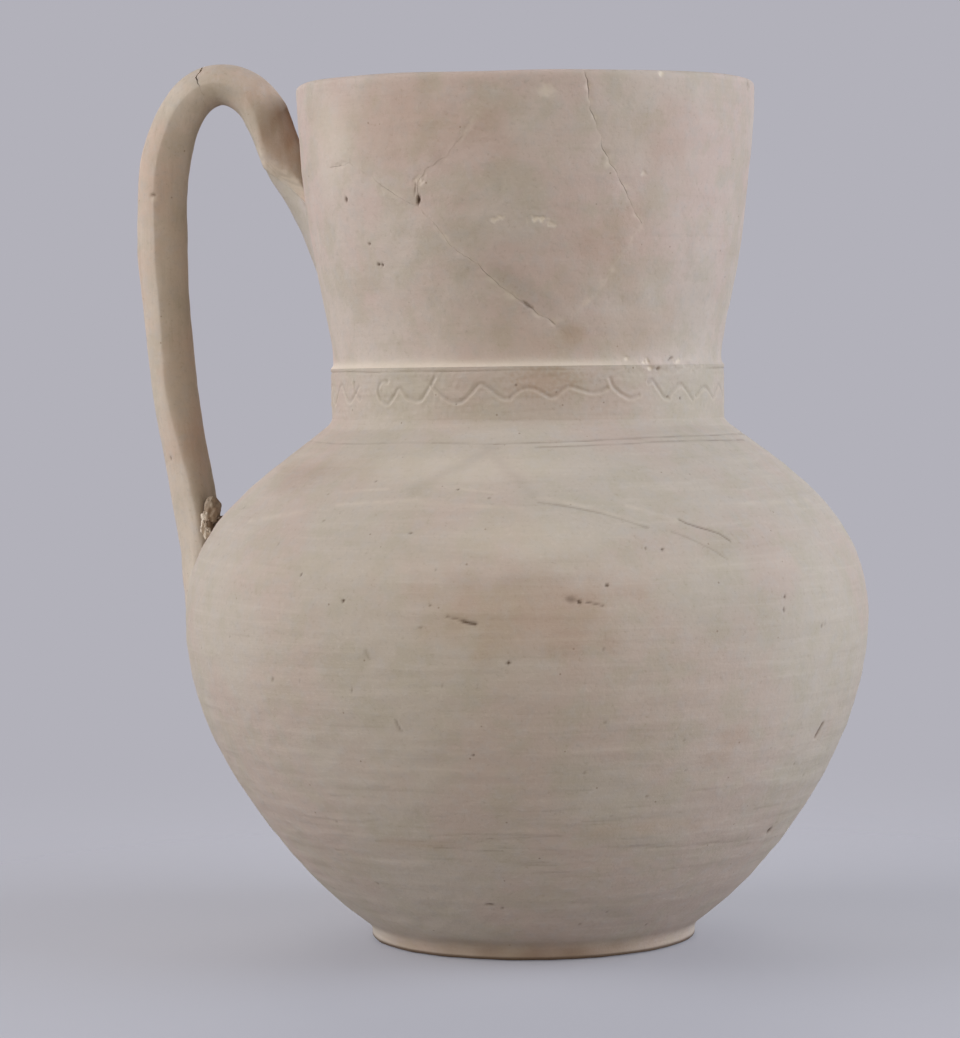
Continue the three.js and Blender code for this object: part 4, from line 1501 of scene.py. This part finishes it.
def make_handle(material, web_material):
    even, grid = handle_grid()
    points = grid[..., :3]
    top = int(np.argmax(points[..., 2].mean(axis=1)))
    zigzag = np.sin((points[..., 2] - BREAK_MIDDLE) / BREAK_TOOTH) + BREAK_ROUGH * rough(points, 83, 3)
    signed = points[..., 0] + BREAK_RADIUS + zigzag
    signed[: top // 2] = -1
    broken = crossing(even, signed)
    ring = np.searchsorted(even, broken)
    gape = smooth(*BREAK_GAPE_HEIGHTS, points[ring, np.arange(SECTION_POINTS), 2])
    gap = BREAK_GAP + BREAK_GAPE * gape
    signed = crease_side(grid) + CREASE_ROUGH * rough(points, 84, 4)
    signed[:top] = -1
    creased = crossing(even, signed)

    start = np.zeros(SECTION_POINTS)
    end = np.full(SECTION_POINTS, even[-1])
    long_limb = bar_between(even, grid, start, broken - gap / 2, LIMB_RINGS)
    short_limb = bar_between(even, grid, broken + gap / 2, creased, SHORT_LIMB_RINGS)
    web = bar_between(even, grid, creased + CREASE_GAP, end, WEB_RINGS)
    close_bar("handle_long_limb", long_limb, material)
    close_bar("handle_short_limb", short_limb, material)
    close_bar("handle_root_web", web, web_material)


# Wad of clay in the corner between the handle and the shoulder


# Lumps of the wad: place, size, unevenness, soil and chalk
WAD_LUMPS = (
    ((-104.4, -6.2, 130.5), (6.0, 9.0, 12.0), 0.12, 0.45, 0.0),
    ((-103.0, -8.4, 136.2), (5.2, 7.0, 9.4), 0.1, 0.2, 0.1),
    ((-104.6, -11.2, 134.0), (2.0, 2.4, 3.8), 0.2, 0.0, 0.85),
    ((-105.0, -11.0, 130.8), (1.6, 2.2, 4.4), 0.25, 0.0, 0.9),
    ((-103.8, -11.0, 129.2), (2.0, 2.2, 3.4), 0.25, 0.0, 0.8),
    ((-99.8, -9.4, 133.4), (2.6, 2.6, 1.8), 0.2, 0.7, 0.0),
)


def lump(place, size, unevenness, seed, steps=64):
    """A pressed lump: rings of an uneven ball."""
    turn = np.radians(np.linspace(0, 360, steps, endpoint=False))
    tip = np.radians(np.linspace(-88, 88, steps // 2))[:, None]
    sides = np.broadcast_arrays(np.cos(tip) * np.cos(turn), np.cos(tip) * np.sin(turn), np.sin(tip))
    ball = np.stack(sides, axis=-1)
    swell = 1 + unevenness * (rough(ball, seed, 1.3) + 0.5 * rough(ball, seed + 1, 0.5))
    return ball * swell[..., None] * np.array(size) / 2 + np.array(place)


def make_wad(material):
    points, faces, soil, chalk = [], [], [], []
    for index, (place, size, unevenness, dark, light) in enumerate(WAD_LUMPS):
        more, sides = closed_rings(lump(place, size, unevenness, 91 + 2 * index))
        faces += [[corner + len(points) * len(more) for corner in face] for face in sides]
        points.append(more)
        soil.append(np.full(len(more), dark))
        chalk.append(np.full(len(more), light))
    marks = {"soil": np.concatenate(soil), "chalk": np.concatenate(chalk)}
    make_piece("handle_foot_wad", np.concatenate(points), faces, material, "wad_clay", **marks)


# Materials


def shade(red, green, blue):
    """A colour as it looks on a screen, made into the light values that a shader takes."""
    def light(value):
        value /= 255
        return value / 12.92 if value <= 0.04045 else ((value + 0.055) / 1.055) ** 2.4
    return light(red), light(green), light(blue), 1


class Graph:
    """A short way to write a node tree."""

    def __init__(self, tree):
        self.tree = tree

    def feed(self, socket, value):
        """Links a socket to another node's output, or sets it to a constant."""
        if isinstance(value, bpy.types.NodeSocket):
            self.tree.links.new(value, socket)
        else:
            socket.default_value = value

    def node(self, kind, inputs, **settings):
        made = self.tree.nodes.new(kind)
        for name, value in settings.items():
            setattr(made, name, value)
        for name, value in inputs.items():
            self.feed(made.inputs[name], value)
        return made

    def noise(self, vector, scale, detail, roughness):
        inputs = {"Vector": vector, "Scale": scale, "Detail": detail, "Roughness": roughness}
        return self.node("ShaderNodeTexNoise", inputs).outputs[0]

    def span(self, value, low, high, to_low=0.0, to_high=1.0):
        """A smooth step between two values, onto two others."""
        inputs = {"Value": value, "From Min": low, "From Max": high, "To Min": to_low, "To Max": to_high}
        return self.node("ShaderNodeMapRange", inputs, interpolation_type="SMOOTHSTEP").outputs[0]

    def mix(self, factor, one, other):
        inputs = {0: factor, 6: one, 7: other}
        return self.node("ShaderNodeMix", inputs, data_type="RGBA").outputs[2]

    def maths(self, operation, one, other):
        return self.node("ShaderNodeMath", {0: one, 1: other}, operation=operation).outputs[0]

    def stretched(self, vector, scale):
        return self.node("ShaderNodeMapping", {"Vector": vector, "Scale": scale}).outputs[0]

    def attribute(self, name):
        return self.node("ShaderNodeAttribute", {}, attribute_name=name).outputs["Fac"]


OLIVE = shade(178, 168, 151)
GREY = shade(184, 177, 173)
PALE = shade(212, 201, 190)
SMUDGE = shade(152, 136, 120)
BROWN = shade(170, 138, 112)
# Colour of soil and of painted shade
SOIL_AND_SHADE = shade(78, 58, 42)
# Colour of chalk and of painted highlights
CHALK_AND_HIGHLIGHT = shade(222, 208, 192)
SPECK = shade(116, 94, 76)

# Noise from broad to fine, and of wiping marks: scale, detail and roughness
NOISES = ((24, 3.0, 0.55), (80, 4, 0.6), (260, 5, 0.62), (760, 4, 0.7))
STREAK_NOISE = (1, 4, 0.6)

# Specks: cells to a metre, a speck's edge in its cell, the chance above which a cell has one, strength
SPECK_SCALE = 260.0
SPECK_EDGE = (0.11, 0.05)
SPECK_CHANCE = (0.84, 0.86)
SPECK_STRENGTH = 0.5

# Finish: the roughness is given by limits of the noise and then of the roughness
CLAY_SPECULAR = 0.2
CLAY_ROUGHNESS = (0.3, 0.7, 0.82, 0.96)
BUMP_FINE = 0.5
BUMP_STREAKS = 2
BUMP_STRENGTH = 0.4
BUMP_DISTANCE = 0.0005

# How noise is stretched along wiping marks, round the vessel and along the handle
WIPED_ROUND = (26, 26, 520)
WIPED_ALONG = (620, 620, 16)

# Clays: two tones, the strength of the wiping marks and the way they run
CLAYS = {
    "body_clay": (shade(187, 175, 163), shade(188, 171, 160), 0.2, WIPED_ROUND),
    "neck_clay": (shade(195, 181, 171), shade(195, 175, 166), 0.1, WIPED_ROUND),
    "handle_clay": (shade(196, 181, 166), shade(196, 173, 157), 0.24, WIPED_ALONG),
    "web_clay": (shade(188, 178, 168), shade(188, 175, 167), 0.05, WIPED_ROUND),
    "wad_clay": (shade(152, 130, 108), shade(140, 118, 98), 0.0, WIPED_ROUND),
}


def node_material(name):
    """A new material, with a graph of its nodes and its main shader."""
    material = bpy.data.materials.new(name)
    material.use_nodes = True
    return material, Graph(material.node_tree), material.node_tree.nodes["Principled BSDF"]


def clay_tone(graph, place, noises, base, blush, streaks):
    """The clay's colour: layers of tone, then specks, stains, chalk and painted highlights, and soil and
    painted shade over them.
    """
    broad, middling, small, fine, streak = noises

    # For each layer its noise, where it starts and is full, its strength and its colour
    layers = (
        (broad, 0.4, 0.6, 1, blush),
        (middling, 0.44, 0.64, 0.5, OLIVE),
        (small, 0.45, 0.7, 0.35, GREY),
        (streak, 0.5, 0.78, streaks, PALE),
        (streak, 0.45, 0.25, 0.8 * streaks, SMUDGE),
        (fine, 0.54, 0.74, 0.22, PALE),
        (fine, 0.46, 0.26, 0.3, SMUDGE),
    )
    tone = base
    for noise, start, full, strength, colour in layers:
        tone = graph.mix(graph.span(noise, start, full, 0, strength), tone, colour)
    cells = graph.node("ShaderNodeTexVoronoi", {"Vector": place, "Scale": SPECK_SCALE})
    chance = graph.node("ShaderNodeSeparateColor", {"Color": cells.outputs["Color"]}).outputs["Red"]
    dot = graph.span(cells.outputs["Distance"], *SPECK_EDGE)
    speck = graph.maths("MULTIPLY", dot, graph.span(chance, *SPECK_CHANCE))
    tone = graph.mix(graph.maths("MULTIPLY", speck, SPECK_STRENGTH), tone, SPECK)
    # Warm stains, chalk and painted highlights, and soil and painted shade, laid over the tone
    for label, colour in (("warm", BROWN), ("chalk", CHALK_AND_HIGHLIGHT), ("soil", SOIL_AND_SHADE)):
        tone = graph.mix(graph.attribute(label), tone, colour)
    return tone


def clay_material(name, base, blush, streaks, wiped):
    """Pale fired clay, mottled and wiped, with a matt and slightly bumpy surface."""
    material, graph, shader = node_material(name)
    place = graph.node("ShaderNodeTexCoord", {}).outputs["Object"]
    noises = [graph.noise(place, *look) for look in NOISES]
    noises.append(graph.noise(graph.stretched(place, wiped), *STREAK_NOISE))
    graph.feed(shader.inputs["Base Color"], clay_tone(graph, place, noises, base, blush, streaks))
    small, fine, streak = noises[2:]
    graph.feed(shader.inputs["Specular IOR Level"], CLAY_SPECULAR)
    graph.feed(shader.inputs["Roughness"], graph.span(small, *CLAY_ROUGHNESS))
    height = graph.maths("ADD", graph.maths("MULTIPLY", fine, BUMP_FINE), small)
    height = graph.maths("ADD", height, graph.maths("MULTIPLY", streak, BUMP_STREAKS * streaks))
    bump = {"Strength": BUMP_STRENGTH, "Distance": BUMP_DISTANCE, "Height": height}
    graph.feed(shader.inputs["Normal"], graph.node("ShaderNodeBump", bump).outputs[0])
    return material


# Studio


BACKDROP = shade(178, 177, 186)
AMBIENT_TINT = (0.95, 0.97, 1, 1)
AMBIENT_STRENGTH = 0.045

# Floor: radii of its rings, its height, and how it fades out with distance in metres
FLOOR_RADII = (1.0, 150.0, 400.0, 1500.0)
FLOOR_POINTS = 96
FLOOR_HEIGHT = -0.3
FLOOR_TONE = shade(184, 183, 190)
FLOOR_ROUGHNESS = 0.7
FLOOR_SPECULAR = 0.2
FLOOR_FADE = (0.05, 0.5, 0.3, 1.0)

# Lamps: azimuth from the camera's own, elevation, size in metres, power and colour
LAMPS = {
    "left_softbox": (-82, 24, 1.3, 21.6, (0.93, 0.95, 1)),
    "left_fill": (-37, 6, 1.0, 6.2, (1, 0.94, 0.8)),
    "right_softbox": (78, 23, 1.3, 24.4, (0.83, 0.9, 1)),
    "right_fill": (34, 4, 1.0, 5.2, (1, 0.91, 0.75)),
    "rear_fill": (180, 30, 1.3, 9, (1, 0.97, 0.93)),
}
LAMP_DISTANCE = 1.5
LAMP_TARGET = (0, 0, 0.14)


def make_camera():
    azimuth = math.radians(CAMERA_AZIMUTH)
    look = math.radians(CAMERA_AZIMUTH + CAMERA_PAN)
    tilt = math.radians(CAMERA_TILT)
    forward = Vector((-math.sin(look) * math.cos(tilt), math.cos(look) * math.cos(tilt), -math.sin(tilt)))
    right = Vector((math.cos(look), math.sin(look), 0))
    up = right.cross(forward)
    roll = Matrix.Rotation(math.radians(CAMERA_ROLL), 3, forward)
    axes = Matrix((roll @ right, roll @ up, -forward)).transposed()
    data = bpy.data.cameras.new("camera")
    data.sensor_width = SENSOR
    data.lens = FOCUS_PIXELS * SENSOR / FRAME_HEIGHT_PIXELS
    camera = add_object("camera", data)
    camera.matrix_world = axes.to_4x4()
    distance = CAMERA_DISTANCE * METRES
    camera.location = (distance * math.sin(azimuth), -distance * math.cos(azimuth), CAMERA_HEIGHT * METRES)
    bpy.context.scene.camera = camera


def floor_material():
    """A pale matt surface that fades into the backdrop."""
    material, graph, shader = node_material("floor")
    graph.feed(shader.inputs["Base Color"], FLOOR_TONE)
    graph.feed(shader.inputs["Roughness"], FLOOR_ROUGHNESS)
    graph.feed(shader.inputs["Specular IOR Level"], FLOOR_SPECULAR)
    place = graph.node("ShaderNodeTexCoord", {}).outputs["Object"]
    far = graph.node("ShaderNodeVectorMath", {0: place}, operation="LENGTH").outputs["Value"]
    clear = graph.node("ShaderNodeBsdfTransparent", {}).outputs["BSDF"]
    fade = graph.span(far, *FLOOR_FADE)
    blend = graph.node("ShaderNodeMixShader", {0: fade, 1: shader.outputs["BSDF"], 2: clear})
    output = material.node_tree.nodes["Material Output"]
    graph.feed(output.inputs["Surface"], blend.outputs["Shader"])
    return material


def make_floor():
    """A round floor."""
    angles = np.linspace(0, 360, FLOOR_POINTS, endpoint=False)
    grid = around(angles[None, :], np.array(FLOOR_RADII)[:, None], FLOOR_HEIGHT)
    faces = ring_faces(len(FLOOR_RADII), FLOOR_POINTS)[:, ::-1].tolist()
    mesh = bpy.data.meshes.new("floor")
    mesh.from_pydata((grid.reshape(-1, 3) * METRES).tolist(), [], faces)
    mesh.materials.append(floor_material())
    floor = add_object("floor", mesh)


def make_light(name, azimuth, elevation, size, power, colour):
    """A square soft lamp that faces the object, at an azimuth from the camera's own."""
    turn = math.radians(azimuth + CAMERA_AZIMUTH)
    rise = math.radians(elevation)
    back = Vector((math.sin(turn) * math.cos(rise), -math.cos(turn) * math.cos(rise), math.sin(rise)))
    data = bpy.data.lights.new(name, "AREA")
    data.size = size
    data.energy = power
    data.color = colour
    lamp = add_object(name, data)
    lamp.location = Vector(LAMP_TARGET) + back * LAMP_DISTANCE
    lamp.rotation_mode = "QUATERNION"
    lamp.rotation_quaternion = (-back).to_track_quat("-Z", "Y")


def make_world():
    """A little light from all round, behind which the camera sees the plain backdrop."""
    world = bpy.data.worlds.new("studio")
    bpy.context.scene.world = world
    world.use_nodes = True
    graph = Graph(world.node_tree)
    light = world.node_tree.nodes["Background"]
    graph.feed(light.inputs["Color"], AMBIENT_TINT)
    graph.feed(light.inputs["Strength"], AMBIENT_STRENGTH)
    wall = graph.node("ShaderNodeBackground", {"Color": BACKDROP, "Strength": 1})
    path = graph.node("ShaderNodeLightPath", {}).outputs
    seen = graph.maths("MAXIMUM", path["Is Camera Ray"], path["Is Glossy Ray"])
    seen = graph.maths("MAXIMUM", seen, path["Is Transmission Ray"])
    blend = graph.node("ShaderNodeMixShader", {0: seen, 1: light.outputs[0], 2: wall.outputs[0]})
    output = world.node_tree.nodes["World Output"]
    graph.feed(output.inputs["Surface"], blend.outputs["Shader"])


make_camera()
make_floor()
make_world()
for name, settings in LAMPS.items():
    make_light(name, *settings)
bpy.context.scene.view_settings.view_transform = "Standard"

clays = {name: clay_material(name, *look) for name, look in CLAYS.items()}
make_belly(clays["body_clay"])
make_collar(clays["body_clay"])
make_neck(clays["neck_clay"])
make_handle(clays["handle_clay"], clays["web_clay"])
make_wad(clays["wad_clay"])
